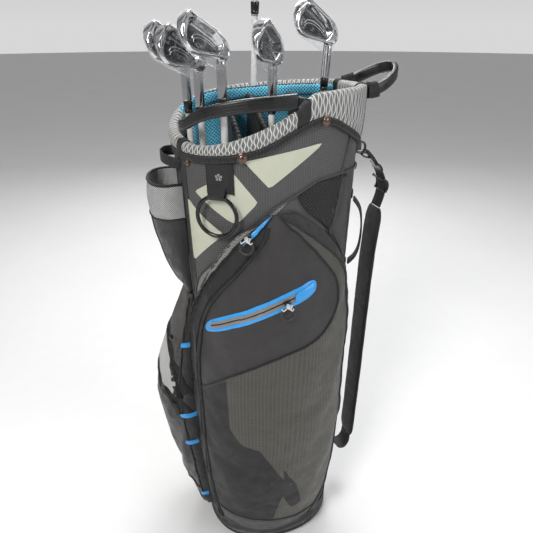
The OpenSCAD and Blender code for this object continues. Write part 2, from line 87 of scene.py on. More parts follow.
# ---- Materials ----
class Graph:
    """One node material; values may be numbers, colours or sockets."""

    def __init__(self, name):
        self.material = bpy.data.materials.new(name)
        self.material.use_nodes = True
        tree = self.material.node_tree
        self.nodes, self.links = tree.nodes, tree.links
        self.shader = self.nodes["Principled BSDF"]

    def put(self, socket, value):
        if isinstance(value, bpy.types.NodeSocket):
            self.links.new(value, socket)
        elif value is not None:
            if socket.type == "RGBA" and len(value) == 3:
                value = (*value, 1)
            socket.default_value = value

    def node(self, kind, inputs=(), out=0, **options):
        n = self.nodes.new("ShaderNode" + kind)
        for key, value in options.items():
            setattr(n, key, value)
        pairs = inputs.items() if isinstance(inputs, dict) else enumerate(inputs)
        for key, value in pairs:
            self.put(n.inputs[key], value)
        return n.outputs[out]

    def math(self, operation, *values):
        return self.node("Math", values, operation=operation)

    def mix(self, share, a, b):
        return self.node("Mix", {0: share, 6: a, 7: b}, out=2, data_type="RGBA")

    def span(self, value, low, high, to_low=0.0, to_high=1.0):
        return self.node("MapRange", [value, low, high, to_low, to_high])

    def uv(self):
        """Distances in mm along the weave."""
        split = self.node("SeparateXYZ", [self.node("UVMap", uv_map="weave")])
        return split, split.node.outputs[1]

    def noise(self, size, detail=2.0, roughness=0.5, stretch=(1, 1, 1)):
        """Noise with lumps of that size in mm, stretched along the object's axes."""
        place = self.node("TexCoord", out=3)
        place = self.node("Mapping", {0: place, 3: [1000 / size * s for s in stretch]})
        return self.node("TexNoise", {"Vector": place, "Scale": 1.0, "Detail": detail,
                                      "Roughness": roughness})

    def bump(self, height, distance, strength=1.0, below=None):
        """Height is from 0 to 1, and distance what 1 stands for in mm."""
        return self.node("Bump", {"Strength": strength, "Distance": distance * MM,
                                  "Height": height, "Normal": below})

    def finish(self, colour, roughness=0.6, normal=None, **constants):
        self.put(self.shader.inputs["Base Color"], colour)
        self.put(self.shader.inputs["Roughness"], roughness)
        self.put(self.shader.inputs["Normal"], normal)
        for key, value in constants.items():
            self.put(self.shader.inputs[key.replace("_", " ")], value)
        return self.material


def shade(colour, k):
    return tuple(min(1, c * k) for c in colour)


def lines(g, value, pitch, width):
    """1 on lines of that width, a pitch apart, with soft edges."""
    away = g.math("PINGPONG", g.math("ADD", value, 4000.0), pitch / 2)
    return g.span(away, width / 2, width / 2 + pitch * 0.12, 1.0, 0.0)


def wave(g, value, pitch):
    return g.math("MULTIPLY_ADD", g.math("SINE", g.math("MULTIPLY", value, 2 * math.pi / pitch)), 0.5, 0.5)


def mottled(g, colour, size=38, depth=0.16):
    """Colour that drifts a little over the cloth, with a finer second drift."""
    drift = g.span(g.noise(size, 3), 0.3, 0.7)
    fine = g.span(g.noise(size / 9, 2), 0.3, 0.7)
    both = g.math("MULTIPLY_ADD", drift, 0.65, g.math("MULTIPLY", fine, 0.35))
    return g.mix(both, shade(colour, 1 - depth), shade(colour, 1 + depth))


def ripstop(name, colour, thread, pitch=5.0, sheen=0.05, rough=0.6):
    """Plain weave with a grid of thicker threads that stand proud."""
    g = Graph(name)
    u, v = g.uv()
    grid = g.math("MAXIMUM", lines(g, u, pitch, 0.7), lines(g, v, pitch, 0.7))
    weave = g.math("MULTIPLY", wave(g, u, 0.9), wave(g, v, 0.9))
    body = mottled(g, colour)
    colour = g.mix(g.math("MULTIPLY", grid, 0.75), body, thread)
    height = g.math("MULTIPLY_ADD", grid, 0.7, g.math("MULTIPLY", weave, 0.3))
    normal = g.bump(height, 0.35, 0.8, g.bump(g.noise(26, 3), 2.2, 0.35))
    roughness = g.span(g.noise(14, 3), 0.3, 0.7, rough - 0.08, rough + 0.1)
    return g.finish(colour, roughness, normal, Sheen_Weight=sheen, Sheen_Roughness=0.45)


def cloth(name, colour, sheen=0.05, rough=0.6, pitch=1.5, crease=0.5):
    """Fine twill: slanted ribs and a slow drift of colour and gloss."""
    g = Graph(name)
    u, v = g.uv()
    twill = wave(g, g.math("ADD", u, v), pitch)
    cross = wave(g, g.math("SUBTRACT", u, v), pitch * 0.8)
    height = g.math("MULTIPLY_ADD", twill, 0.7, g.math("MULTIPLY", cross, 0.3))
    body = mottled(g, colour)
    colour = g.mix(g.math("MULTIPLY", height, 0.5), body, shade(colour, 1.35))
    normal = g.bump(height, 0.25, 0.6, g.bump(g.noise(22, 4), 2.6, crease))
    roughness = g.span(g.noise(18, 3), 0.3, 0.7, rough - 0.1, rough + 0.1)
    return g.finish(colour, roughness, normal, Sheen_Weight=sheen, Sheen_Roughness=0.4)


def netting(name, strand, under, across=7.0, along=15.0):
    """Wavy strands that meet in pairs, so they leave long eyes over a darker ground."""
    g = Graph(name)
    u, v = g.uv()
    sway = g.math("SINE", g.math("MULTIPLY", v, 2 * math.pi / along))
    middle = g.math("MULTIPLY_ADD", sway, across * 0.22, across / 2)
    away = g.math("ABSOLUTE", g.math("SUBTRACT", g.math("PINGPONG", g.math("ADD", u, 4004.0), across),
                                     middle))
    line = g.span(away, across * 0.12, across * 0.27, 1.0, 0.0)
    knit = wave(g, g.math("ADD", v, g.math("MULTIPLY", u, 0.3)), 1.6)
    bright = g.mix(g.math("MULTIPLY", knit, 0.35), strand, shade(strand, 0.6))
    colour = g.mix(line, mottled(g, under, 20, 0.3), bright)
    height = g.math("MULTIPLY_ADD", line, 0.85, g.math("MULTIPLY", knit, 0.12))
    normal = g.bump(height, 1.4, 1.0, g.bump(g.noise(20, 3), 1.5, 0.3))
    return g.finish(colour, g.span(line, 0.0, 1.0, 0.85, 0.42), normal, Sheen_Weight=0.08)


def spacer(name, thread, hole, pitch=3.2):
    """Knitted mesh with rows of staggered round holes."""
    g = Graph(name)
    u, v = g.uv()
    a = g.math("SINE", g.math("MULTIPLY", g.math("ADD", u, v), math.pi / pitch))
    b = g.math("SINE", g.math("MULTIPLY", g.math("SUBTRACT", u, v), math.pi / pitch))
    eye = g.span(g.math("ABSOLUTE", g.math("MULTIPLY", a, b)), 0.3, 0.62)
    colour = g.mix(eye, mottled(g, thread, 16, 0.18), hole)
    normal = g.bump(g.math("SUBTRACT", 1.0, eye), 0.9, 0.9, g.bump(g.noise(18, 2), 1.5, 0.3))
    return g.finish(colour, g.span(eye, 0.0, 1.0, 0.55, 0.9), normal, Sheen_Weight=0.05)


def webbing(name, colour, rib=2.4):
    """Woven tape: ribs across, a fine chevron, and paler worn edges of the ribs."""
    g = Graph(name)
    u, v = g.uv()
    chevron = g.math("PINGPONG", g.math("ADD", u, 4000.0), 3.0)
    ribs = wave(g, g.math("ADD", v, g.math("MULTIPLY", chevron, 0.5)), rib)
    colour = g.mix(g.math("MULTIPLY", ribs, 0.6), mottled(g, colour, 12), shade(colour, 1.8))
    normal = g.bump(ribs, 0.5, 0.8, g.bump(g.noise(3, 2), 0.3, 0.3))
    return g.finish(colour, g.span(g.noise(9, 2), 0.3, 0.7, 0.6, 0.85), normal, Sheen_Weight=0.04)


def moulded(name, colour, rough=0.4, grain=0.6, wear=1.5, **constants):
    """Moulded plastic or rubber: pebbled skin, rubbed patches, a little dust."""
    g = Graph(name)
    pebbles = g.noise(grain, 2)
    worn = g.span(g.noise(24, 4, 0.6), 0.42, 0.66)
    body = g.mix(worn, colour, shade(colour, wear))
    roughness = g.span(g.noise(11, 4), 0.3, 0.7, rough - 0.07, rough + 0.1)
    return g.finish(body, roughness, g.bump(pebbles, 0.12, 0.6), **constants)


def metal(name, colour, rough, brushed=0.0, **constants):
    """Plated metal with faint polishing marks and smudges."""
    g = Graph(name)
    marks = g.noise(2.0, 3, 0.6, (1, 1, 14))
    smudge = g.noise(13, 4, 0.6)
    tint = g.mix(g.span(smudge, 0.35, 0.7), colour, shade(colour, 0.86))
    roughness = g.math("MULTIPLY_ADD", marks, brushed, g.span(smudge, 0.3, 0.7, rough, rough + 0.07))
    return g.finish(tint, roughness, g.bump(marks, 0.05, 0.25 + brushed), Metallic=1.0, **constants)


def pile(name, colour):
    """Loop pile of hook-and-loop tape."""
    g = Graph(name)
    loops = g.noise(1.1, 3, 0.7)
    body = g.mix(g.span(loops, 0.35, 0.7), shade(colour, 0.6), shade(colour, 2.4))
    return g.finish(body, 0.92, g.bump(loops, 1.0, 0.9), Sheen_Weight=0.12)


def clear_film(name):
    """Thin clear wrap: more solid where it turns away and along its creases, where the whiter, more solid
    lines are painted glints as well as folds.
    """
    g = Graph(name)
    crease = g.node("TexNoise", {"Vector": g.node("TexCoord", out=3), "Scale": 34.0, "Detail": 2.0,
                                 "Distortion": 0.8})
    # Painted glints: thin lines along the creases are made whiter and more solid, standing in for highlights
    # on the folds.
    ridge = g.span(g.math("ABSOLUTE", g.math("SUBTRACT", crease, 0.5)), 0.0, 0.022, 1.0, 0.0)
    edge = g.math("POWER", g.node("LayerWeight", {"Blend": 0.35}, out=1), 2.0)
    solid = g.math("MULTIPLY_ADD", ridge, 0.2, g.math("MULTIPLY_ADD", edge, 0.34, 0.03))
    return g.finish((0.93, 0.94, 0.95), 0.12, g.bump(crease, 1.6, 1.0), Alpha=solid,
                    Specular_IOR_Level=1.0, IOR=1.5)


CHARCOAL, GRAPHITE, OLIVE = (0.050, 0.049, 0.049), (0.0265, 0.024, 0.025), (0.045, 0.043, 0.036)
SILVER, BLUE, SAGE = (0.36, 0.36, 0.35), (0.035, 0.31, 0.72), (0.52, 0.53, 0.425)
M_RIP = ripstop("ripstop_charcoal", CHARCOAL, shade(CHARCOAL, 2.2), 3.6)
M_FLANK = cloth("flank_cloth", GRAPHITE, sheen=0.08, rough=0.5)
M_OLIVE = ripstop("ripstop_olive", OLIVE, shade(OLIVE, 2.0), 3.8, rough=0.5)
M_DARK = cloth("panel_dark", (0.010, 0.0092, 0.0096), rough=0.58)
M_GUSSET = ripstop("ripstop_gusset", (0.14, 0.14, 0.135), (0.30, 0.30, 0.285), 3.8)
M_SILVER = ripstop("ripstop_silver", SILVER, shade(SILVER, 1.6), 3.8, rough=0.42)
M_TAUPE = ripstop("ripstop_taupe", (0.040, 0.036, 0.034), (0.095, 0.088, 0.083), 3.8)
M_SOFT = cloth("front_cloth", (0.030, 0.028, 0.0285), sheen=0.1, rough=0.46, crease=0.9)
M_NET = netting("cuff_net", (0.74, 0.75, 0.74), (0.17, 0.17, 0.16), 4.0, 21.0)
M_SILVER_MESH = spacer("silver_mesh", (0.56, 0.57, 0.57), (0.12, 0.12, 0.12), 3.0)
M_BLUE_MESH = spacer("blue_mesh", (0.20, 0.72, 1.0), (0.02, 0.17, 0.38), 5.6)
M_BLACK_MESH = spacer("black_mesh", (0.015, 0.015, 0.016), (0.002, 0.002, 0.002), 4.2)
M_PLEAT = cloth("pleated_sleeve", (0.009, 0.009, 0.010), sheen=0.1, rough=0.4)
M_BIND = webbing("binding_tape", (0.011, 0.011, 0.0115), 1.6)
M_PIPE = webbing("piping_cord", (0.014, 0.014, 0.0145), 1.8)
M_PIPE_GREY = webbing("piping_grey", (0.045, 0.045, 0.044), 1.8)
M_WEB = webbing("black_webbing", (0.012, 0.012, 0.0125))
M_WEB_GREY = webbing("grey_webbing", (0.045, 0.044, 0.043))
M_THREAD = moulded("thread", (0.05, 0.05, 0.05), 0.7, 0.4)
M_THREAD_PALE = moulded("thread_pale", (0.13, 0.13, 0.127), 0.7, 0.4)
M_SAGE = moulded("sage_print", SAGE, 0.55, 1.1, 1.05)
M_BLUE = moulded("blue_weld", BLUE, 0.38, 1.4, 1.12, Coat_Weight=0.15)
M_WINDOW = moulded("zip_window", (0.22, 0.20, 0.185), 0.35, 0.8, 1.15)
M_PLASTIC = moulded("moulded_black", (0.010, 0.010, 0.0105), 0.3, 0.5, Coat_Weight=0.1)
M_MATT = moulded("moulded_matt", (0.011, 0.011, 0.0115), 0.55, 0.8)
M_GLOSS = moulded("moulded_gloss", (0.006, 0.006, 0.0065), 0.24, 0.4, Coat_Weight=0.1)
M_RUBBER = moulded("grip_rubber", (0.012, 0.012, 0.012), 0.62, 0.7)
M_RING = moulded("pull_rubber", (0.022, 0.023, 0.0225), 0.42, 0.7)
M_CORD = webbing("pull_cord", (0.72, 0.72, 0.70), 1.2)
M_GUN = metal("gunmetal", (0.10, 0.092, 0.085), 0.28, 0.1)
M_BRONZE = metal("snap_bronze", (0.20, 0.135, 0.11), 0.24, 0.05)
M_CHROME = metal("chrome", (0.72, 0.72, 0.73), 0.05, 0.03)
M_SATIN = metal("satin_steel", (0.16, 0.165, 0.18), 0.22, 0.05)
M_BADGE = metal("badge_dark", (0.035, 0.037, 0.043), 0.16, 0.02)
M_TRIM = metal("silver_trim", (0.75, 0.75, 0.76), 0.18)
M_WHITE = moulded("white_lacquer", (0.70, 0.675, 0.66), 0.2, 0.9, Coat_Weight=0.5)
M_CROWN = moulded("crown_lacquer", (0.012, 0.013, 0.016), 0.16, 0.5, Coat_Weight=0.8)
M_PILE = pile("loop_pile", (0.014, 0.014, 0.014))
M_FILM = clear_film("clear_film")


def face_steel():
    """Milled face: score lines across the middle of the blade."""
    g = Graph("face_steel")
    x, y = g.uv()
    inside = g.math("MULTIPLY", g.span(x, 10, 11), g.span(x, 58, 59, 1.0, 0.0))
    score = g.math("MULTIPLY", lines(g, y, 3.4, 0.7), inside)
    mill = wave(g, y, 0.8)
    colour = g.mix(score, (0.55, 0.56, 0.58), (0.06, 0.06, 0.065))
    height = g.math("SUBTRACT", g.math("MULTIPLY", mill, 0.15), score)
    return g.finish(colour, g.span(mill, 0, 1, 0.2, 0.32), g.bump(height, 0.5, 0.9), Metallic=1.0)


M_FACE = face_steel()


def floor_paint():
    g = Graph("floor_paint")
    return g.finish(mottled(g, (0.86, 0.86, 0.86), 400, 0.02), 0.75, g.bump(g.noise(3, 2), 0.1, 0.3))


def studio_world():
    """Soft gradient overhead, with tall dark flags round the sides that streak the chrome."""
    world = bpy.data.worlds.new("studio")
    scene.world = world
    world.use_nodes = True
    nodes, links = world.node_tree.nodes, world.node_tree.links
    sky = nodes["Background"]

    def ramp(value, stops):
        n = nodes.new("ShaderNodeValToRGB")
        links.new(value, n.inputs[0])
        for k, (at, grey) in enumerate(stops):
            stop = n.color_ramp.elements[0] if k == 0 else n.color_ramp.elements.new(at)
            stop.position, stop.color = at, (grey, grey, grey * 1.01, 1)
        return n.outputs[0]

    split = nodes.new("ShaderNodeSeparateXYZ")
    links.new(nodes.new("ShaderNodeTexCoord").outputs["Generated"], split.inputs[0])
    turn = nodes.new("ShaderNodeMath")
    turn.operation = "ARCTAN2"
    links.new(split.outputs[1], turn.inputs[0])
    links.new(split.outputs[0], turn.inputs[1])
    share = nodes.new("ShaderNodeMapRange")
    links.new(turn.outputs[0], share.inputs[0])
    share.inputs[1].default_value, share.inputs[2].default_value = -math.pi, math.pi
    height = ramp(split.outputs[2], ((0.0, 0.85), (0.12, 0.7), (0.4, 0.34), (0.75, 0.75)))
    flags = ramp(share.outputs[0], ((0.0, 1), (0.03, 0.04), (0.09, 0.04), (0.11, 1), (0.19, 1), (0.21, 0.03),
                                    (0.27, 0.03), (0.29, 1), (0.35, 0.9), (0.37, 0.03), (0.43, 0.03),
                                    (0.45, 1), (0.52, 1), (0.54, 0.04), (0.58, 0.04), (0.6, 1), (0.8, 1),
                                    (0.83, 0.04), (0.9, 0.04), (0.93, 1)))
    both = nodes.new("ShaderNodeMix")
    both.data_type, both.blend_type = "RGBA", "MULTIPLY"
    both.inputs[0].default_value = 1
    links.new(height, both.inputs[6])
    links.new(flags, both.inputs[7])
    seen = nodes.new("ShaderNodeMix")
    seen.data_type = "RGBA"
    links.new(nodes.new("ShaderNodeLightPath").outputs["Is Camera Ray"], seen.inputs[0])
    links.new(both.outputs[2], seen.inputs[6])
    links.new(height, seen.inputs[7])
    links.new(seen.outputs[2], sky.inputs[0])
    sky.inputs[1].default_value = 0.8


studio_world()


# ---- Mesh making ----
class Build:
    """Collects points, faces, weave distances and material numbers, then makes one piece."""

    def __init__(self):
        self.points, self.faces, self.weave, self.numbers = [], [], [], []
        self.count = 0

    def add(self, points, faces, weave=None, number=0):
        """weave has one pair per corner of each face."""
        points = np.asarray(points, float).reshape(-1, 3)
        self.points.append(points)
        for k, face in enumerate(faces):
            self.faces.append([i + self.count for i in face])
            self.weave.extend(weave[k] if weave is not None else [points[i][:2] for i in face])
        self.numbers.extend([number] * len(faces))
        self.count += len(points)

    def grid(self, points, across=False, along=False, number=0, flip=False, weave=None):
        """Rows of points; across joins each row's end to its start, along the last row to the first."""
        points = np.asarray(points, float)
        n, m = points.shape[:2]
        if weave is None:
            closed = np.concatenate([points, points[:, :1]], 1)
            closed = np.concatenate([closed, closed[:1]], 0)
            row, column = closed[len(closed) // 2], closed[:, len(closed[0]) // 2]
            u, v = distances(row), distances(column)
        else:
            u, v = weave
        faces, pairs = [], []
        for i in range(n if along else n - 1):
            for j in range(m if across else m - 1):
                p, q = (i + 1) % n, (j + 1) % m
                face = [i * m + j, i * m + q, p * m + q, p * m + j]
                pair = [(u[j], v[i]), (u[j + 1], v[i]), (u[j + 1], v[i + 1]), (u[j], v[i + 1])]
                faces.append(face[::-1] if flip else face)
                pairs.append(pair[::-1] if flip else pair)
        self.add(points.reshape(-1, 3), faces, pairs, number)
        return self

    def cap(self, ring, number=0):
        """Fills a ring of points with a fan from its middle."""
        ring = np.asarray(ring, float)
        n = len(ring)
        self.add(np.concatenate([ring, ring.mean(0)[None]]), [[k, (k + 1) % n, n] for k in range(n)],
                 None, number)

    def sweep(self, path, section, closed=False, number=0, up=None):
        """Section (k, 2), or one for each point of the path, carried along it. up is a direction
        or one for each point, which the section's second axis follows."""
        path = np.asarray(path, float)
        n = len(path)
        step = np.roll(path, -1, 0) - np.roll(path, 1, 0)
        if not closed:
            step[0], step[-1] = path[1] - path[0], path[-1] - path[-2]
        ahead = step / np.maximum(np.linalg.norm(step, axis=1, keepdims=True), 1e-9)
        if up is None:
            side = np.cross(ahead[0], (0, 0, 1) if abs(ahead[0][2]) < 0.8 else (1, 0, 0))
            sides = []
            for t in ahead:
                side = side - t * (side @ t)
                side = side / np.linalg.norm(side)
                sides.append(side)
            sides = np.array(sides)
            ups = np.cross(sides, ahead)
        else:
            ups = np.broadcast_to(np.asarray(up, float), path.shape)
            sides = np.cross(ahead, ups)
            sides = sides / np.maximum(np.linalg.norm(sides, axis=1, keepdims=True), 1e-9)
            ups = np.cross(sides, ahead)
        section = np.asarray(section, float)
        if section.ndim == 2:
            section = np.broadcast_to(section, (n, *section.shape))
        rows = path[:, None] + sides[:, None] * section[..., :1] + ups[:, None] * section[..., 1:]
        self.grid(rows, across=True, along=closed, number=number)
        if not closed:
            self.cap(rows[0][::-1], number)
            self.cap(rows[-1], number)
        return self

    def loft(self, rows, number=0, weave=None):
        """Rows of points joined all round, with both ends closed."""
        self.grid(rows, across=True, number=number, weave=weave)
        self.cap(rows[0][::-1], number)
        self.cap(rows[-1], number)
        return self

    def tube(self, path, radius, sides=8, closed=False, number=0):
        path = np.asarray(path, float)
        turn = np.arange(sides) * 2 * math.pi / sides
        ring = np.stack([np.cos(turn), np.sin(turn)], -1)
        radius = np.broadcast_to(np.asarray(radius, float), (len(path),))
        return self.sweep(path, ring[None] * radius[:, None, None], closed, number)

    def patch(self, outline, place, out, thick=0.8, cell=6.0, number=0, crown=0.0, soft=12.0):
        """A panel cut to an outline on a surface. place(points, out) gives where flat points go."""
        ring = resample(outline, cell, True)
        low, high = ring.min(0), ring.max(0)
        inner = []
        for k, y in enumerate(np.arange(low[1] + cell / 2, high[1], cell * 0.87)):
            for x in np.arange(low[0] + (k % 2) * cell / 2, high[0], cell):
                inner.append((x, y))
        inner = np.array(inner) if inner else np.zeros((0, 2))
        if len(inner):
            inner = inner[inside(inner, ring)]
        if len(inner):
            inner = inner[away_from(inner, ring) > cell * 0.55]
        flat = [Vector(p) for p in np.concatenate([ring, inner])]
        flat, _, faces, *_ = delaunay_2d_cdt(flat, [], [list(range(len(ring)))], 1, 1e-5)
        flat = np.array([tuple(p) for p in flat])
        if crown:
            rise = np.clip(away_from(flat, ring) / soft, 0, 1)
            rise = crown * np.sin(rise * math.pi / 2)
        else:
            rise = np.zeros(len(flat))
        top, low = place(flat, out + rise), place(flat, np.full(len(flat), out - thick))
        n = len(flat)
        weave = [[flat[i] for i in face] for face in faces]
        self.add(top, faces, weave, number)
        edges = {}
        for face in faces:
            for a, b in zip(face, face[1:] + face[:1]):
                edges[(a, b)] = (b, a) in edges or edges.get((a, b), False)
        rim = [e for e in edges if (e[1], e[0]) not in edges]
        both = np.concatenate([top, low])
        self.add(both, [[b, a, a + n, b + n] for a, b in rim],
                 [[flat[i % n] for i in (b, a, a, b)] for a, b in rim], number)
        self.add(low, [face[::-1] for face in faces], [w[::-1] for w in weave], number)
        return self

    def stitches(self, path, length=3.0, gap=1.8, radius=0.35, number=0):
        """A row of thread stitches that dip at each end."""
        line = resample(path, (length + gap) / 4, False)
        for k in range(0, len(line) - 3, 4):
            self.tube(line[k:k + 3], [radius * 0.6, radius, radius * 0.6], 5, number=number)
        return self

    def done(self, name, materials, body, slot=None, smooth=True, subdivide=0, weld=0.02, angle=None):
        mesh = bpy.data.meshes.new(name)
        mesh.from_pydata((np.concatenate(self.points) * MM).tolist(), [], self.faces)
        layer = mesh.uv_layers.new(name="weave")
        layer.data.foreach_set("uv", np.asarray(self.weave, np.float32).ravel())
        mesh.polygons.foreach_set("material_index", self.numbers)
        mesh.polygons.foreach_set("use_smooth", [smooth] * len(self.faces))
        if weld:
            b = bmesh.new()
            b.from_mesh(mesh)
            bmesh.ops.remove_doubles(b, verts=b.verts, dist=weld * MM)
            b.to_mesh(mesh)
            b.free()
        mesh.update()
        piece = bpy.data.objects.new(name, mesh)
        for m in materials if isinstance(materials, (list, tuple)) else [materials]:
            mesh.materials.append(m)
        scene.collection.objects.link(piece)
        if angle:
            mesh.set_sharp_from_angle(angle=math.radians(angle))
        if subdivide:
            more = piece.modifiers.new("subdivide", "SUBSURF")
            more.levels = more.render_levels = subdivide
        if body:
            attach(piece, body)
        return piece


def distances(path):
    """How far along a line each of its points is."""
    return np.concatenate([[0], np.cumsum(np.linalg.norm(np.diff(path, axis=0), axis=1))])


def turns(count):
    """That many equal angles round a circle, in radians."""
    return np.linspace(0, 2 * math.pi, count + 1)[:-1]


def sideways(line):
    """Unit directions square to a flat line."""
    step = np.gradient(line, axis=0)
    return np.stack([-step[:, 1], step[:, 0]], -1) / np.linalg.norm(step, axis=1, keepdims=True)


def read(mesh, what="co"):
    """Places or normals of a mesh's points."""
    values = np.empty(len(mesh.vertices) * 3)
    mesh.vertices.foreach_get(what, values)
    return values.reshape(-1, 3)


def thicken(piece, depth, offset=-1):
    solid = piece.modifiers.new("thickness", "SOLIDIFY")
    solid.thickness, solid.offset = depth * MM, offset


def resample(path, step, closed):
    """The same line in equal steps; keeps its ends."""
    path = np.asarray(path, float)
    if closed:
        path = np.concatenate([path, path[:1]])
    along = distances(path)
    n = max(2, int(round(along[-1] / step)))
    at = np.linspace(0, along[-1], n + 1)
    if closed:
        at = at[:-1]
    return np.stack([np.interp(at, along, path[:, k]) for k in range(path.shape[1])], -1)


def spline(path, steps=6, closed=False):
    """Smooth curve through the points."""
    p = np.asarray(path, float)
    n = len(p)
    spots = []
    for i in range(n if closed else n - 1):
        near = [p[(i + k) % n] if closed else p[min(max(i + k, 0), n - 1)] for k in (-1, 0, 1, 2)]
        a, b, c, d = near
        for s in range(steps):
            t = s / steps
            spots.append(0.5 * (2 * b + (c - a) * t + (2 * a - 5 * b + 4 * c - d) * t * t
                                + (3 * b - a - 3 * c + d) * t ** 3))
    if not closed:
        spots.append(p[-1])
    return np.array(spots)


def rounded(outline, radii, steps=5):
    """Outline with its corners rounded; a radius for all, or one for each corner."""
    p = np.asarray(outline, float)
    n = len(p)
    radii = np.broadcast_to(radii, (n,))
    spots = []
    for i in range(n):
        a, b = p[i - 1] - p[i], p[(i + 1) % n] - p[i]
        reach = min(radii[i], np.linalg.norm(a) * 0.45, np.linalg.norm(b) * 0.45)
        start, end = p[i] + a / np.linalg.norm(a) * reach, p[i] + b / np.linalg.norm(b) * reach
        for t in np.linspace(0, 1, steps if reach > 0.5 else 1):
            spots.append((1 - t) ** 2 * start + 2 * t * (1 - t) * p[i] + t * t * end)
    return np.array(spots)


def inside(points, ring):
    hit = np.zeros(len(points), bool)
    for a, b in zip(ring, np.roll(ring, -1, 0)):
        over = (a[1] > points[:, 1]) != (b[1] > points[:, 1])
        slope = (b[0] - a[0]) * (points[:, 1] - a[1]) / (b[1] - a[1] if b[1] != a[1] else 1e-9) + a[0]
        hit ^= over & (points[:, 0] < slope)
    return hit


def away_from(points, ring):
    best = np.full(len(points), 1e9)
    for a, b in zip(ring, np.roll(ring, -1, 0)):
        d = b - a
        t = np.clip(((points - a) @ d) / max(d @ d, 1e-9), 0, 1)
        best = np.minimum(best, np.linalg.norm(points - a - t[:, None] * d, axis=1))
    return best


def pill(w, h, r, steps=4):
    spots = []
    for sx, sy, start in ((1, 1, 0), (-1, 1, 90), (-1, -1, 180), (1, -1, 270)):
        for t in np.radians(start + np.linspace(0, 90, steps)):
            spots.append((sx * (w / 2 - r) + r * math.cos(t), sy * (h / 2 - r) + r * math.sin(t)))
    return np.array(spots)


def table(rows, blur=8.0, step=2.0, period=None):
    """A smooth function through a table of (place, value)."""
    x, y = np.array(rows, float).T
    at = np.arange(x[0], x[-1] + step / 2, step)
    values = np.interp(at, x, y)
    reach = int(3 * blur / step)
    bell = np.exp(-0.5 * (np.arange(-reach, reach + 1) * step / blur) ** 2)
    bell /= bell.sum()
    if period:
        padded = np.concatenate([values[-reach - 1:-1], values, values[1:reach + 1]])
    else:
        padded = np.pad(values, reach, mode="reflect", reflect_type="odd")
    values = np.convolve(padded, bell, "valid")
    return lambda q: np.interp(np.mod(q, period) if period else q, at, values)


def ripple(points, size, seed=0.0):
    """Smooth waves of about that size in mm, from -1 to 1, the same each run."""
    x, y, z = (np.asarray(points, float)[..., k] * 2 * math.pi / size for k in range(3))
    waves = ((0.9, 0.3, 0.5, 0.1), (-0.4, 0.8, 0.7, 1.9), (0.5, -0.7, 0.9, 3.7), (0.3, 0.6, -1.3, 5.1),
             (1.5, 0.9, 0.4, 2.3))
    return sum(np.sin(a * x + b * y + c * z + d + seed * (k + 1.7))
               for k, (a, b, c, d) in enumerate(waves)) / 3.2


# ---- The tube that everything is built on ----
FOOT_X, FOOT_Y, HEAD_X, HEAD_Y, RIM_REF, POWER = 120, 110, 145, 115, 872, 2.3
TRIM_W, RING_H, WALL_T = 12, 26, 3


def half_x(z):
    return FOOT_X + (HEAD_X - FOOT_X) * z / RIM_REF


def half_y(z):
    return FOOT_Y + (HEAD_Y - FOOT_Y) * z / RIM_REF


def spow(v, power=2 / POWER):
    return np.sign(v) * np.abs(v) ** power


def wall(a, z, out=0.0):
    a, z, out = np.broadcast_arrays(np.radians(a), np.asarray(z, float), np.asarray(out, float))
    return np.stack([(half_x(z) + out) * spow(np.cos(a)), (half_y(z) + out) * spow(np.sin(a)), z], -1)


def outward(a):
    """Direction away from the tube at an angle."""
    c, s = math.cos(math.radians(a)), math.sin(math.radians(a))
    n = Vector((float(spow(c, 2 - 2 / POWER)) / HEAD_X, float(spow(s, 2 - 2 / POWER)) / HEAD_Y, 0))
    return n.normalized()


rim = table([
    [0, 873], [30, 872], [60, 868], [90, 864], [115, 856], [135, 844], [155, 828], [172, 817],
    [180, 814], [190, 811], [199, 806], [212, 803], [222, 805], [237, 811], [250, 821],
    [260, 831], [268, 842], [273, 854], [279, 872], [300, 875], [330, 875], [360, 873]], 2.0, 1.0, 360)
trim = table([
    [0, 790], [26, 799], [48, 817], [66, 834], [80, 838], [95, 834], [115, 822], [140, 805],
    [160, 797], [176, 795], [199, 794], [219, 794], [237, 797], [243, 799], [256, 807],
    [267, 822], [273, 836], [280, 843], [287, 845], [294, 839], [312, 819], [334, 799], [360, 790]],
    3.0, 1.0, 360)

# Distance round the tube at mid height, so that panels and weaves keep their size
TURN = np.linspace(0, 360, 721)
ROUND = distances(wall(TURN, 550.0))


def arc(a):
    return np.interp(a, TURN, ROUND)


def turn(s):
    return np.interp(s, ROUND, TURN)


def near(x, z):
    """Angle of the point of the near flank that has this X."""
    c = np.clip(np.asarray(x, float) / half_x(np.asarray(z, float)), -1, 1)
    return 360 - np.degrees(np.arccos(spow(c, POWER / 2)))


def on_tube(points, out):
    """Flat (distance round, height) points onto the tube."""
    points = np.asarray(points, float)
    return wall(turn(points[..., 0]), points[..., 1], out)


def flank(points):
    """(X, Z) points of the near flank to flat ones."""
    return np.array([(float(arc(near(x, z))), z) for x, z in points])


def bulge(u, power=3.0):
    return np.maximum(0, 1 - np.abs(2 * np.asarray(u) - 1) ** power) ** (1 / power)


# How far a pouch's edges stand off the tube, so that it clears the tray
EDGE_LOW, EDGE_HIGH = 8.1, 1.1


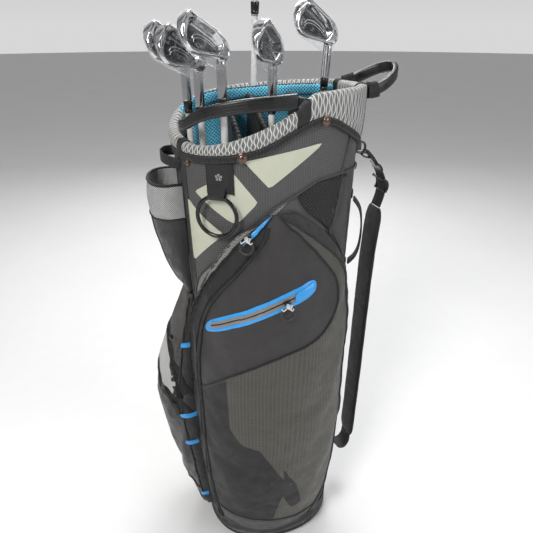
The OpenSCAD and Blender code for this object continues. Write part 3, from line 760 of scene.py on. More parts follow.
class Pouch:
    """The CAD's pouch surface, with smoothed outlines."""

    def __init__(self, left, right, depth, mirror=False, blur=10):
        self.left, self.right, self.depth = table(left, blur), table(right, 10), table(depth, 8)
        self.sign = np.array([1, -1, 1]) if mirror else np.ones(3)

    def at(self, u, z, out=0.0):
        u, z = np.broadcast_arrays(np.asarray(u, float), np.asarray(z, float))
        base = np.interp(z, [50, 58], [EDGE_LOW, EDGE_HIGH]) + 2
        a = self.left(z) + (self.right(z) - self.left(z)) * u
        return wall(a, z, base + self.depth(z) * bulge(u) + out) * self.sign

    def edge(self, u, z, out):
        base = np.interp(z, [50, 58], [EDGE_LOW, EDGE_HIGH])
        return wall(self.left(z) + (self.right(z) - self.left(z)) * u, z, base + out) * self.sign

    def sheet(self, levels, steps=44):
        """Rows from the tube over the pouch and back, closely spaced where it turns."""
        t = np.linspace(0, math.pi, steps)
        u = (1 - np.sign(np.cos(t)) * np.abs(np.cos(t)) ** (2 / 3)) / 2
        rows = []
        for z in levels:
            row = self.at(u, z)
            rows.append(np.concatenate([self.edge(0, z, 0)[None], row, self.edge(1, z, 0)[None]]))
        return np.array(rows), u


def settle(piece, fixed, pressure, grow, cap, frames=16):
    """Lets cloth find its folds between the fixed points, and keeps it near its pattern."""
    mesh = piece.data
    rest = read(mesh)
    group = piece.vertex_groups.new(name="fixed")
    for i, share in enumerate(fixed(rest / MM)):
        group.add([i], float(share), "REPLACE")
    made = piece.modifiers.new("settle", "CLOTH")
    s = made.settings
    s.vertex_group_mass = "fixed"
    s.mass, s.quality, s.air_damping = 0.15, 4, 4.0
    s.tension_stiffness = s.compression_stiffness = 12
    s.shear_stiffness, s.bending_stiffness = 4, 0.35
    s.use_pressure, s.uniform_pressure_force = True, pressure
    s.shrink_min = -grow
    s.effector_weights.gravity = 0.4
    for frame_number in range(1, frames + 1):
        scene.frame_set(frame_number)
    solved = piece.evaluated_get(bpy.context.evaluated_depsgraph_get()).data
    shift = read(solved) - rest
    size = np.maximum(np.linalg.norm(shift, axis=1, keepdims=True), 1e-9)
    shift *= cap * MM * np.tanh(size / (cap * MM)) / size
    piece.modifiers.remove(made)
    mesh.vertices.foreach_set("co", (rest + shift).ravel())
    mesh.update()
    scene.frame_set(1)


class Skin:
    """Finds places just over a finished piece, for panels and seams sewn onto it."""

    def __init__(self, piece):
        mesh = piece.data
        self.points = [v.co / MM for v in mesh.vertices]
        self.normals = [v.normal.copy() for v in mesh.vertices]
        self.polygons = [tuple(p.vertices) for p in mesh.polygons]
        self.tree = BVHTree.FromPolygons(self.points, self.polygons)

    def over(self, points, out):
        points = np.asarray(points, float)
        out = np.broadcast_to(out, points.shape[:-1])
        spots = []
        for p, o in zip(points.reshape(-1, 3), out.ravel()):
            where, flat, face, _ = self.tree.find_nearest(p)
            corners = self.polygons[face]
            normal = Vector((0, 0, 0))
            for i in corners:
                normal += self.normals[i] / (0.2 + (self.points[i] - where).length)
            spots.append(where + normal.normalized() * float(o))
        return np.array([tuple(s) for s in spots]).reshape(points.shape)


# ---- Body panels ----
FLOOR_Z = 6.2
angles = np.linspace(0, 360, 241)[:-1]
rows = []
for t in np.linspace(0, 1, 110):
    z = FLOOR_Z + (rim(angles) - FLOOR_Z) * t
    p = wall(angles, z)
    puff = 0.9 * ripple(p, 120) * math.sin(math.pi * t) ** 0.5
    rows.append(wall(angles, z, np.minimum(puff, 0.35) - 0.1))
shell = Build().grid(rows, across=True, weave=(arc(np.linspace(0, 360, 241)), np.linspace(0, 866, 110)))
lining = [wall(angles, FLOOR_Z + (rim(angles) - FLOOR_Z) * t, -WALL_T) for t in np.linspace(1, 0, 40)]
shell.grid([rows[-1], lining[0]], across=True)
shell.grid(lining, across=True, number=1, weave=(arc(np.linspace(0, 360, 241)), np.linspace(866, 0, 40)))
shell.grid([lining[-1], rows[0]], across=True)
body = shell.done("body_panels", [M_RIP, M_DARK], "bag", "body_shell")
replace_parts(body, "body_shell")

# Pale printed shapes of the near flank, under the towel ring
print_1 = rounded(flank([(-67, 794), (51, 814), (-32, 754)]), [2, 10, 3])
print_2 = rounded(flank([(-128, 744), (-82, 779), (-48, 734), (-79, 699)]), [2, 2, 3, 12])
print_3 = rounded(flank([(-136, 729), (-95, 684), (-133, 623)]), [3, 3, 11])


def other_flank(ring):
    """The same flat outline on the far flank."""
    ring = np.array(ring, float)
    ring[:, 0] = arc(360) - ring[:, 0]
    return ring[::-1]


for name, turned in (("flank_prints", False), ("far_prints", True)):
    prints = Build()
    for outline in (print_1, print_2, print_3):
        prints.patch(other_flank(outline) if turned else outline, on_tube, 0.75, 0.9, 7)
    prints.done(name, M_SAGE, "bag", "body_shell", angle=40)

# Smooth panels beside the spine and at the front, below the cross seam
panels = Build()
for side in (0, 1):
    for low_a, high_a, low, high in ((309, 351, 60, 762), (189.5, 197, 560, 790)):
        ring = [(arc(low_a), low), (arc(high_a), low), (arc(high_a), high), (arc(low_a), high)]
        panels.patch(rounded(other_flank(ring) if side else ring, 3), on_tube, 0.55, 0.6, 14)
panels.done("side_panels", M_FLANK, "bag", "body_shell", angle=40)

# Seams: a rolled edge with stitches beside it
seams, threads = Build(), Build()


def tube_seam(points, radius=1.5, out=0.9, both=True, gap=4.0):
    """points are (angle, height) on the tube; mirrored to the far flank too."""
    for side in (0, 1) if both else (0,):
        line = spline([(arc(360 - a if side else a), z) for a, z in points], 8)
        line = resample(line, 5, False)
        seams.tube(on_tube(line, out), radius, 7)
        beside = line + np.array((0, gap)) if abs(line[0][0] - line[-1][0]) > abs(line[0][1] - line[-1][1]) \
            else line + np.array((gap, 0))
        threads.stitches(on_tube(beside, 0.5), *LONG)


def xz(points):
    return [(float(near(x, z)), z) for x, z in points]


DIAGONAL = (xz([(94, 764), (46, 759), (14, 744), (-24, 724), (-73, 684), (-99, 648)])
            + [(203, 600), (194, 553), (189, 472)])
tube_seam(DIAGONAL, 1.9, 1.2)
tube_seam(xz([(101, 814), (87, 764), (72, 709), (57, 648)]), 1.6, 1.0)
tube_seam([(350, 786), (350, 400), (350, 56)], 1.5)
tube_seam([(186, 789), (186, 694), (188, 593), (190, 560)], 1.5)
tube_seam([(309, 764), (330, 762), (350, 762)], 1.5)
seams.done("body_seams", M_PIPE_GREY, "bag", "body_shell")
threads.done("body_stitches", M_THREAD_PALE, "bag", "body_shell")

# Gusset strip between the diagonal seam and the apparel pocket's zip
gusset = Build()
for side in (0, 1):
    upper = spline([(arc(a), z) for a, z in DIAGONAL[2:]], 6)
    lower = spline([(arc(a), z) for a, z in [(205, 472), (208, 553), (216, 592), (229, 636), (243, 676),
                                             (262, 712), (270, 738)]], 6)
    ring = np.concatenate([upper, lower])
    gusset.patch(other_flank(ring) if side else ring, on_tube, 0.9, 1.0, 7)
gusset.done("gusset_panels", M_GUSSET, "bag", "body_shell", angle=40)


# ---- Cuff: netting over foam, with black tape below it and round the scoop's ends ----
def cuff_profile(a, grow=0.0):
    """Closed outline of the cuff across its width, as (out, height), at one angle."""
    top, low = float(rim(a)), float(min(trim(a) + TRIM_W / 2 - 1.0, rim(a) - 3))
    inner = -WALL_T - 0.4 - 3
    g = grow
    tall = top - low
    return np.array([
        (1.2, low + 0.5), (4.6 + g, low + 0.4), (6.8 + g, low + tall * 0.3), (7.4 + g, low + tall * 0.7),
        (6.6 + g, top + 4), (3.5 + g * 0.7, top + 7.4 + g), (-2.5, top + 8.0 + g),
        (-6.6 - g * 0.5, top + 6.2 + g), (inner - 3.2 - g, top + 1), (inner - 3.4 - g, top - RING_H * 0.6),
        (inner - 2.4 - g, top - RING_H - 4.6), (inner - 0.5, top - RING_H - 4.4), (inner - 0.4, top - 6),
        (inner - 0.4, top + 0.4), (0.5, top + 0.5), (0.5, low + tall * 0.5)])


def cuff_rows(angles, grow=0.0, puff=0.0):
    rows = []
    for a in angles:
        outline = spline(cuff_profile(a, grow), 3, closed=True)
        p = wall(a, outline[:, 1], outline[:, 0])
        if puff:
            lift = puff * (ripple(p, 46, 1.0) * 0.7 + ripple(p, 19, 2.0) * 0.3)
            outer = np.clip((outline[:, 0] - 1) / 5, 0, 1)
            p = wall(a, outline[:, 1], outline[:, 0] + lift * outer)
        rows.append(p)
    return np.array(rows)


cuff_angles = np.linspace(0, 360, 241)
profile = spline(cuff_profile(100), 3, closed=True)
cuff_points = cuff_rows(cuff_angles[:-1], puff=1.1)
cuff = Build().grid(cuff_points.transpose(1, 0, 2), across=True, along=True,
                    weave=(arc(cuff_angles), distances(np.concatenate([profile, profile[:1]]))))
cuff = cuff.done("cuff", M_NET, "bag", "cuff_pad")
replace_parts(cuff, "cuff_pad")

tape = Build()
rows = []
for a in cuff_angles[:-1]:
    z = float(trim(a))
    rows.append(wall(a, z + np.array([-6, -6.2, -5, 0, 5, 6.2, 6, 0]),
                     np.array([0.4, 3.6, 5.4, 6.1, 5.6, 4.2, 0.4, 0.3])))
tape.grid(rows, across=True, along=True, flip=True)
tape_piece = tape.done("cuff_tape", M_BIND, "bag", "cuff_binding", subdivide=1)
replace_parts(tape_piece, "cuff_binding")
threads = Build()
for lift in (-3.6, 3.6):
    line = wall(cuff_angles, trim(cuff_angles) + lift, 6.15)
    threads.stitches(line, *PLAIN)
threads.done("cuff_tape_stitches", M_THREAD_PALE, "bag", "cuff_binding")


def wrap(build, low, high, grow=1.4, steps=7):
    """Tape folded over the cuff between two angles."""
    rows = cuff_rows(np.linspace(low, high, steps), grow)
    build.grid(rows, across=True, flip=False)
    build.cap(rows[0])
    build.cap(rows[-1][::-1])


wraps = Build()
for low, high in ((271, 276.5), (195, 200.5), (340, 345), (14, 19)):
    wrap(wraps, low, high)
wraps.done("cuff_wraps", M_BIND, "bag", "cuff_binding", angle=50)


# ---- Handles ----
front_path = [wall(a, z, o) for a, z, o in (
    (192, 834, -4), (201, 838, -3), (212, 848, -2), (224, 857, -2), (237, 863, -2), (250, 867, -2),
    (262, 869, -2), (272, 870, -3))]
front_path = spline(front_path, 8)
front = Build()
tall = np.interp(np.linspace(0, 1, len(front_path)), (0, 0.5, 1), (14.5, 17.5, 21))
front.sweep(front_path, np.array([pill(8, h, 3.2, 5) for h in tall]), up=(0, 0, 1))
step = np.gradient(front_path, axis=0)
outward_side = np.cross(step, (0, 0, 1))
outward_side /= np.linalg.norm(outward_side, axis=1, keepdims=True)
for share in (-0.22, 0.0, 0.22):
    for side in (-1, 1):
        ridge = front_path + outward_side * side * 3.9 + np.stack([0 * tall, 0 * tall, tall * share], -1)
        front.tube(ridge[4:-4], 0.55, 6)
front = front.done("front_handle_bar", M_PLASTIC, "bag", "front_handle")
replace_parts(front, "front_handle")
rear_path = spline([
    (149, -42, 872), (163, -42, 873), (182, -39, 880), (203, -27, 893), (213, -4, 901),
    (206, 20, 899), (186, 34, 889), (166, 40, 879), (149, 42, 874)], 8)
rear = Build()
rear.sweep(rear_path, pill(8.4, 17, 3.6, 5), up=(0, 0, 1))
rear = rear.done("rear_handle_bar", M_PLASTIC, "bag", "front_handle")
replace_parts(rear, "rear_handle")
# Collars where the rear handle leaves the ring, and a raised grip rib under it
collars = Build()
for points in (rear_path[:10], rear_path[-10:]):
    points = np.asarray(points)
    collars.sweep(points, pill(14, 24, 5, 4), up=(0, 0, 1))
collars.done("handle_collars", M_BIND, "bag", "cuff_binding")
ribs = Build()
for k in range(18, len(rear_path) - 18, 3):
    p, q = rear_path[k - 1], rear_path[k + 1]
    t = (q - p) / np.linalg.norm(q - p)
    side = np.cross(t, (0, 0, 1))
    side = side / np.linalg.norm(side)
    below = rear_path[k] - np.array((0, 0, 8.4))
    ribs.tube([below - side * 3, below - side * 1, below + side * 1, below + side * 3], [0.4, 0.9, 0.9, 0.4],
              6)
ribs.done("rear_handle_ribs", M_PLASTIC, "bag", "front_handle")


# ---- Dividers ----
BAR_Y = 35
bar_path = spline([(-124, BAR_Y, 842), (-104, BAR_Y, 854), (-70, BAR_Y, 863), (0, BAR_Y, 867),
                   (70, BAR_Y, 868), (124, BAR_Y, 866)], 10)
bar = Build()
shape = pill(13.6, 16.6, 5.4, 5)
sections = np.array([shape * (1 + 0.03 * math.sin(k * 1.9)) for k in range(len(bar_path))])
bar.sweep(bar_path, sections, up=(0, 0, 1))
bar = bar.done("divider_sleeve", M_BLUE_MESH, "bag", "divider_long_bar")
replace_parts(bar, "divider_long_bar")
slit = Build()
line = bar_path[6:-6] + np.array((0, 0, 8.4))
slit.sweep(line, pill(5.4, 1.2, 0.5, 3), up=(0, 0, 1))
slit.stitches(line + np.array((0, 3.4, 0)), 3, 2, 0.3)
slit.stitches(line - np.array((0, 3.4, 0)), 3, 2, 0.3)
slit.done("divider_slit", M_PIPE, "bag", "divider_long_bar")

CROSS_X = (-62, -22, 48)
NEAR_ENDS = ((-92, 792), (-98, 806), (-96, 858))
sleeves = Build()
for x, (end_y, end_z) in zip(CROSS_X, NEAR_ENDS):
    parts = (spline([(x, BAR_Y - 7.5, 858), (x, 4, 856), (x, -50, (856 + end_z) / 2), (x, end_y, end_z)], 18),
             np.linspace((x, BAR_Y + 7.5, 858), (x, 94, 848), 28))
    for line in parts:
        line = resample(line, 1.8, False)
        k = np.arange(len(line))
        fold = 1 + 0.13 * np.sin(k * 2 * math.pi / 4.0) + 0.05 * np.sin(k * 0.61 + x)
        shape = pill(8.6, 14.4, 3.4, 4)
        sleeves.sweep(line, shape[None] * fold[:, None, None], up=(0, 0, 1))
sleeves = sleeves.done("divider_pleats", M_PLEAT, "bag", "divider_cross_bars")
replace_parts(sleeves, "divider_cross_bars")

SHEET_LOW, CLOTH_T = 640, 1.2


def hanging(name, corner, along, width, tops, material, waves):
    """A divider cloth that hangs from its bar in shallow waves."""
    n, m = 30, 30
    rows = []
    side = np.array((-along[1], along[0], 0.0))
    for i in range(n):
        t = i / (n - 1)
        row = []
        for j in range(m):
            s = j / (m - 1)
            top = np.interp(s, np.linspace(0, 1, len(tops)), tops)
            z = SHEET_LOW + (top - SHEET_LOW) * t
            sway = waves * (1 - t) ** 0.7 * math.sin(s * math.pi) * math.sin(s * 9 + t * 1.5)
            row.append(np.array(corner) + np.array((*along, 0)) * width * s + side * sway
                       + np.array((0, 0, z)))
        rows.append(row)
    piece = Build().grid(rows).done(name, material, "bag", "divider_sheets")
    thicken(piece, CLOTH_T, 0)
    return piece


main = hanging("divider_blue_cloth", (-112, BAR_Y, 0), (1, 0), 224, (850, 861, 862, 862, 860), M_BLUE_MESH,
               1.5)
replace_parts(main, "divider_sheets")
for k, x in enumerate(CROSS_X):
    end_y, end_z = NEAR_ENDS[k]
    hanging(f"divider_cloth_near{k + 1}", (x, BAR_Y - 2, 0), (0, -1), BAR_Y - 6 - end_y,
            (852, 850, (852 + end_z) / 2, end_z - 8), M_PLEAT, 1.0)
    hanging(f"divider_cloth_far{k + 1}", (x, BAR_Y + 2, 0), (0, 1), 60, (850, 842, 838), M_PLEAT, 1.0)
# Stays and ring keep their CAD shape
for name, material in (("body_stays", M_MATT), ("top_ring", M_MATT), ("base_tray", M_MATT),
                       ("strap_top_ring", M_GUN), ("towel_ring", M_GLOSS)):
    node = frame["nodes"][name]
    node.data.materials.clear()
    node.data.materials.append(material)


# ---- Apparel pockets, near and far ----
APPAREL_LEFT = [[30, 205], [50, 200], [90, 196], [200, 194], [420, 194], [520, 196], [553, 200],
                [608, 214], [648, 226], [684, 239], [716, 258]]
APPAREL_RIGHT = [[30, 287], [50, 300], [90, 308], [200, 313], [320, 315], [520, 316], [560, 315],
                 [608, 311], [648, 301], [684, 288], [716, 272]]
APPAREL_BULGE = [[30, 0.02], [50, 0.22], [60, 0.36], [90, 0.56], [140, 0.8], [220, 0.97], [320, 1],
                 [430, 0.97], [520, 0.9], [608, 0.68], [648, 0.52], [684, 0.32], [716, 0.05]]
FAR_LEFT = [[30, 240], [90, 232], [200, 230], [560, 230], [648, 236], [716, 262]]
near_pouch = Pouch(APPAREL_LEFT, APPAREL_RIGHT, [[z, d * 42] for z, d in APPAREL_BULGE])
far_pouch = Pouch(FAR_LEFT, APPAREL_RIGHT, [[z, d * 38] for z, d in APPAREL_BULGE], mirror=True)
POCKET_WIDE = 235.0


def pocket_sheet(pouch, name, materials, slot, levels, cap, seed, grow=0.02, steps=56, number=None,
                 fixed=None):
    """The pocket's cloth over its stuffing, left to find its own folds."""
    rows, u = pouch.sheet(levels, steps)
    bare = np.concatenate([[0], u, [1]])
    inner = np.clip(np.minimum(bare, 1 - bare) / 0.12, 0, 1)
    rise = np.clip((levels - levels[0]) / 60, 0, 1) * np.clip((levels[-1] - levels) / 60, 0, 1)
    lump = ripple(rows, 150, seed) * 0.6 + ripple(rows, 62, seed + 3) * 0.4
    middle = rows.mean(1, keepdims=True) * np.array([0, 0, 1])
    away = rows - middle
    away /= np.linalg.norm(away, axis=-1, keepdims=True)
    soft = inner[None] * rise[:, None]
    rows = rows + away * (lump * soft * 1.8 - 0.6 * soft)[..., None]
    mirrored = pouch.sign[1] < 0
    b = Build().grid(rows, flip=mirrored)
    if number is not None:
        across_it = len(bare) - 1
        b.numbers = [number(bare[k % across_it], levels[k // across_it]) for k in range(len(b.faces))]
    piece = b.done(name, materials, "bag", slot)

    def held(points):
        u_share = np.tile(bare, len(levels))
        z_share = np.repeat(np.linspace(0, 1, len(levels)), len(bare))
        hold = np.maximum(np.clip(1 - np.minimum(u_share, 1 - u_share) / 0.035, 0, 1),
                          np.clip(1 - np.minimum(z_share, 1 - z_share) / 0.03, 0, 1))
        return np.maximum(hold, 0 if fixed is None else fixed(u_share, np.repeat(levels, len(bare))))

    settle(piece, held, 1.1, grow, cap)
    return piece


levels = np.concatenate([np.linspace(30, 90, 16)[:-1], np.linspace(90, 680, 112)[:-1],
                         np.linspace(680, 716, 12)])
main = pocket_sheet(near_pouch, "apparel_cloth", [M_FLANK], "apparel_pocket", levels, 5.0, 0.0)
skin = Skin(main)
thicken(main, CLOTH_T)
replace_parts(main, "apparel_pocket")
far = pocket_sheet(far_pouch, "far_pocket_cloth", [M_OLIVE], "far_pocket", levels, 5.0, 5.0)
far_skin = Skin(far)
thicken(far, CLOTH_T)
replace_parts(far, "far_pocket")


def on_pocket(pouch, over):
    """Flat points are (share across times POCKET_WIDE, height)."""
    def place(points, out):
        points = np.asarray(points, float)
        return over.over(pouch.at(points[..., 0] / POCKET_WIDE, points[..., 1]), out)
    return place


def across(points):
    return [(u * POCKET_WIDE, z) for u, z in points]


on_near, on_far = on_pocket(near_pouch, skin), on_pocket(far_pouch, far_skin)

# Line of the inner piping: the smooth upper panel ends here and the ripstop begins
INNER = [(0.5, 714), (0.60, 705), (0.685, 685), (0.75, 655), (0.80, 624), (0.822, 600), (0.828, 582),
         (0.82, 562), (0.79, 541), (0.74, 522), (0.687, 509), (0.60, 497), (0.50, 483), (0.39, 464),
         (0.27, 438), (0.15, 410)]
OUTER = [(0.5, 715), (0.66, 706), (0.78, 684), (0.87, 655), (0.925, 620), (0.94, 580), (0.94, 500),
         (0.94, 300), (0.93, 150), (0.90, 92), (0.86, 62)]
WELT = [(0.33, 699), (0.355, 690), (0.35, 678), (0.315, 664), (0.255, 636), (0.20, 609), (0.172, 580),
        (0.16, 540), (0.155, 480), (0.15, 410), (0.15, 300), (0.15, 200), (0.152, 130), (0.16, 70)]
DARK = [(0.155, 408), (0.33, 448), (0.337, 346), (0.40, 311), (0.486, 299), (0.634, 196), (0.60, 160),
        (0.575, 99), (0.45, 104), (0.3, 111), (0.155, 113)]
DARK_SPOT = [(0.60, 246), (0.66, 190), (0.70, 140), (0.66, 126), (0.61, 170)]
HEM = [(0.16, 112), (0.3, 110), (0.45, 103), (0.6, 95), (0.75, 87), (0.9, 84)]


def pocket_panels(place, tag, slot):
    inner = spline(across(INNER), 6)
    outer = spline(across(OUTER), 6)
    welt = spline(across(WELT), 6)
    hem = spline(across(HEM), 6)
    low = welt[:, 1] < 410
    ring = np.concatenate([inner, welt[low & (welt[:, 1] > 112)], hem, outer[::-1][outer[::-1][:, 1] > 84]])
    olive = Build()
    olive.patch(ring, place, 0.5, 0.9, 6)
    olive.done(f"ripstop_panel{tag}", M_OLIVE, "bag", slot, angle=40)
    dark = Build()
    for outline, corner in ((DARK, 3), (DARK_SPOT, 4)):
        dark.patch(rounded(across(outline), corner), place, 0.8, 0.7, 6)
    dark.done(f"dark_panels{tag}", M_DARK, "bag", slot, angle=40)
    band = Build()
    ring = np.concatenate([hem, across([(0.88, 62), (0.8, 54), (0.6, 50), (0.4, 50), (0.2, 56), (0.17, 70)])])
    band.patch(ring, place, 0.6, 0.8, 5, crown=1.2, soft=8)
    band.done(f"hem_band{tag}", M_SOFT, "bag", slot, angle=50)
    pipes, stitched = Build(), Build()
    for line, radius, out in ((inner, 1.5, 0.9), (outer, 2.0, 1.0), (hem, 1.6, 1.0)):
        line = resample(line, 4.5, False)
        pipes.tube(place(line, out), radius, 7)
        side = sideways(line)
        for gap in (3.6,) if radius < 2 else (4.2, -4.2):
            beside = line + side * gap
            stitched.stitches(place(resample(beside, 1.4, False), 0.95 if radius < 2 else 0.6), *FINE)
    pipes.done(f"pocket_piping{tag}", M_PIPE, "bag", slot)
    stitched.done(f"pocket_stitches{tag}", M_THREAD_PALE, "bag", slot)
    return welt


welt = pocket_panels(on_near, "", "apparel_pocket")
pocket_panels(on_far, "_far", "far_pocket")

# Zip of the apparel pocket: tape, two rows of teeth and the rolled welt that covers it
TRACK = [(0.05, 90), (0.05, 200), (0.05, 400), (0.05, 550), (0.058, 600), (0.07, 630), (0.095, 662),
         (0.125, 690), (0.2, 704)]
track = resample(spline(across(TRACK), 8), 2.2, False)


def zip_run(name, slot, line, place, width=9.0, out=1.2, coil=1.3):
    """Tape with a coil of teeth along a flat line."""
    side = sideways(line)
    strip = Build()
    section = ((-width / 2, 0.1), (-width / 2 + 0.6, out), (-1.6, out + 0.2), (1.6, out + 0.2),
               (width / 2 - 0.6, out), (width / 2, 0.1))
    rows = [place(line + side * s, o) for s, o in section]
    strip.grid(np.array(rows).transpose(1, 0, 2), flip=True)
    strip.done(name + "_tape", M_BIND, "bag", slot)
    teeth = Build()
    for edge in (-1, 1):
        for k in range(0, len(line) - 1):
            a = line[k] + side[k] * edge * 0.2
            b = line[k] + side[k] * edge * 2.2
            p = place(np.array([a, (a + b) / 2, b]), np.array([out + 0.6, out + coil, out + 0.5]))
            teeth.tube(p, [0.5, 0.62, 0.45], 4)
    teeth.done(name + "_teeth", M_GLOSS, "bag", slot)


zip_run("apparel_zip", "apparel_zip_track", track, on_near, 10, 1.6)
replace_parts(bpy.data.objects["apparel_zip_tape"], "apparel_zip_track")
line = resample(welt, 4, False)
roll = Build()
roll.tube(on_near(line, 1.4), 2.6, 9)
inner_line = line - np.array((7.5, 0))
roll.tube(on_near(inner_line[12:], 0.8), 1.3, 7)
roll.done("apparel_welt", M_BIND, "bag", "apparel_zip_track")
stitched = Build()
stitched.stitches(on_near(resample(line + np.array((4.6, 0)), 1.4, False), 0.8), *FINE)
stitched.done("apparel_welt_stitches", M_THREAD_PALE, "bag", "apparel_zip_track")
# Dark facing between the zip and the welt, and ripstop on the pocket's side wall
facing = Build()
lower = spline(across([(u + 0.022, z) for u, z in TRACK]), 8)
upper = line[(line[:, 1] > 92)]
facing.patch(np.concatenate([lower, upper]), on_near, 0.45, 0.8, 5)
facing.done("zip_facing", M_DARK, "bag", "apparel_pocket", angle=40)
side_wall = Build()
lower = spline(across([(u - 0.022, z) for u, z in TRACK]), 8)
edge = across([(0.006, 690), (0.006, 600), (0.006, 400), (0.006, 200), (0.006, 90)])
side_wall.patch(np.concatenate([lower, spline(edge, 6)]), on_near, 0.45, 0.8, 5)
side_wall.done("pocket_gusset", M_GUSSET, "bag", "apparel_pocket", angle=40)


# ---- Blue garages, dry pocket and the pulls ----
PATCH_U, PATCH_Z, PATCH_H = (0.185, 0.68), (537, 606), 13.5


def patch_flat(t, dz=0.0):
    return np.stack([(PATCH_U[0] + (PATCH_U[1] - PATCH_U[0]) * t) * POCKET_WIDE,
                     PATCH_Z[0] + (PATCH_Z[1] - PATCH_Z[0]) * t + dz], -1)


def stadium(t0, t1, h):
    """Outline of a long patch with round ends, along the dry pocket's slant."""
    ts, zs = [], []
    end = 0.25 if h > 8 else 0.12
    for s in turns(48):
        c, q = math.cos(s), math.sin(s)
        ts.append((t0 + t1) / 2 + (t1 - t0) / 2 * abs(c) ** end * (1 if c >= 0 else -1))
        zs.append(h * (abs(q) ** 0.8) * (1 if q >= 0 else -1))
    return patch_flat(np.array(ts), np.array(zs))


dry = Build()
dry.patch(stadium(0, 1, PATCH_H), on_near, 1.3, 1.6, 4, crown=0.5, soft=3)
dry = dry.done("dry_patch", M_BLUE, "bag", "dry_pocket_patch", angle=50)
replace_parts(dry, "dry_pocket_patch")
window = Build()
window.patch(stadium(0.06, 0.94, 6.4), on_near, 2.0, 0.8, 3)
window.done("dry_window", M_WINDOW, "bag", "dry_pocket_patch", angle=50)
lip = Build()
for dz in (-7.4, 7.4):
    lip.tube(on_near(patch_flat(np.linspace(0.06, 0.94, 60), dz), 1.7), 0.8, 6)
lip.done("dry_lips", M_BLUE, "bag", "dry_pocket_patch")
chain = Build()
for dz in (-0.6, 0.6):
    chain.tube(on_near(patch_flat(np.linspace(0.08, 0.92, 80), dz), 2.2), 0.5, 6)
chain.done("dry_chain", M_MATT, "bag", "dry_pocket_patch")
cover = Build()
cover.patch(rounded(np.concatenate([patch_flat(np.array([0.80, 0.97]), -7.5),
                                    patch_flat(np.array([0.97, 0.80]), 7.5)]), 3),
            on_near, 4.2, 2.6, 3, crown=0.8, soft=4)
cover.done("dry_garage", M_BLUE, "bag", "dry_pocket_patch", angle=50)
garage = Build()
flap = rounded(across([(0.13, 706), (0.205, 716), (0.228, 691), (0.158, 672)]), 2)
garage.patch(flap, on_near, 5.5, 4.6, 3, crown=1.2, soft=6)
garage.done("apparel_garage", M_BLUE, "bag", "apparel_zip_track", angle=50)


def frame_on(p, q, face):
    x = (Vector(q) - Vector(p)).normalized()
    face = Vector(face)
    z = (face - x * face.dot(x)).normalized()
    y = z.cross(x)
    m = Matrix((x, y, z)).transposed().to_4x4()
    m.translation = Vector(p)
    return m


def moved(m, points):
    points = np.asarray(points, float)
    r = np.array(m.to_3x3())
    return points @ r.T + np.array(m.translation)


def slider(name, node, p, q, face, body, slot):
    """Zip slider: two plates joined by a wedge, with a bridge for the pull."""
    m = frame_on(p, q, face)
    b = Build()

    def plate(z, w0, w1, length, thick):
        t = np.linspace(0, 1, 9)
        half = w0 + (w1 - w0) * t
        x = -length / 2 + length * t
        rings = []
        for lift, shrink in ((0, 0.4), (0.3, 0), (thick - 0.3, 0), (thick, 0.4)):
            ring = [(xx, h - shrink, z + lift) for xx, h in zip(x, half)] + \
                   [(xx, -h + shrink, z + lift) for xx, h in zip(x[::-1], half[::-1])]
            rings.append(moved(m, ring))
        b.loft(rings)

    plate(-1.6, 3.2, 4.0, 10, 0.9)
    plate(0.6, 3.4, 4.2, 10, 1.0)
    b.tube(moved(m, [(-4.2, 0, -1), (-4.2, 0, 1.4)]), 1.3, 8)
    bridge = spline([(-3.6, 0, 1.4), (-3.2, 0, 3.4), (0, 0, 4.3), (3.2, 0, 3.4), (3.6, 0, 1.4)], 5)
    b.sweep(moved(m, bridge), pill(0.9, 2.6, 0.4, 3), up=tuple(m.to_3x3() @ Vector((0, 1, 0))))
    piece = b.done(name, M_GUN, body, slot, angle=45)
    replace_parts(piece, node)
    return piece


PULL_DROP, PULL_OUT, RING_R, CORD_R = 15, 9.3, 9.6, 0.85


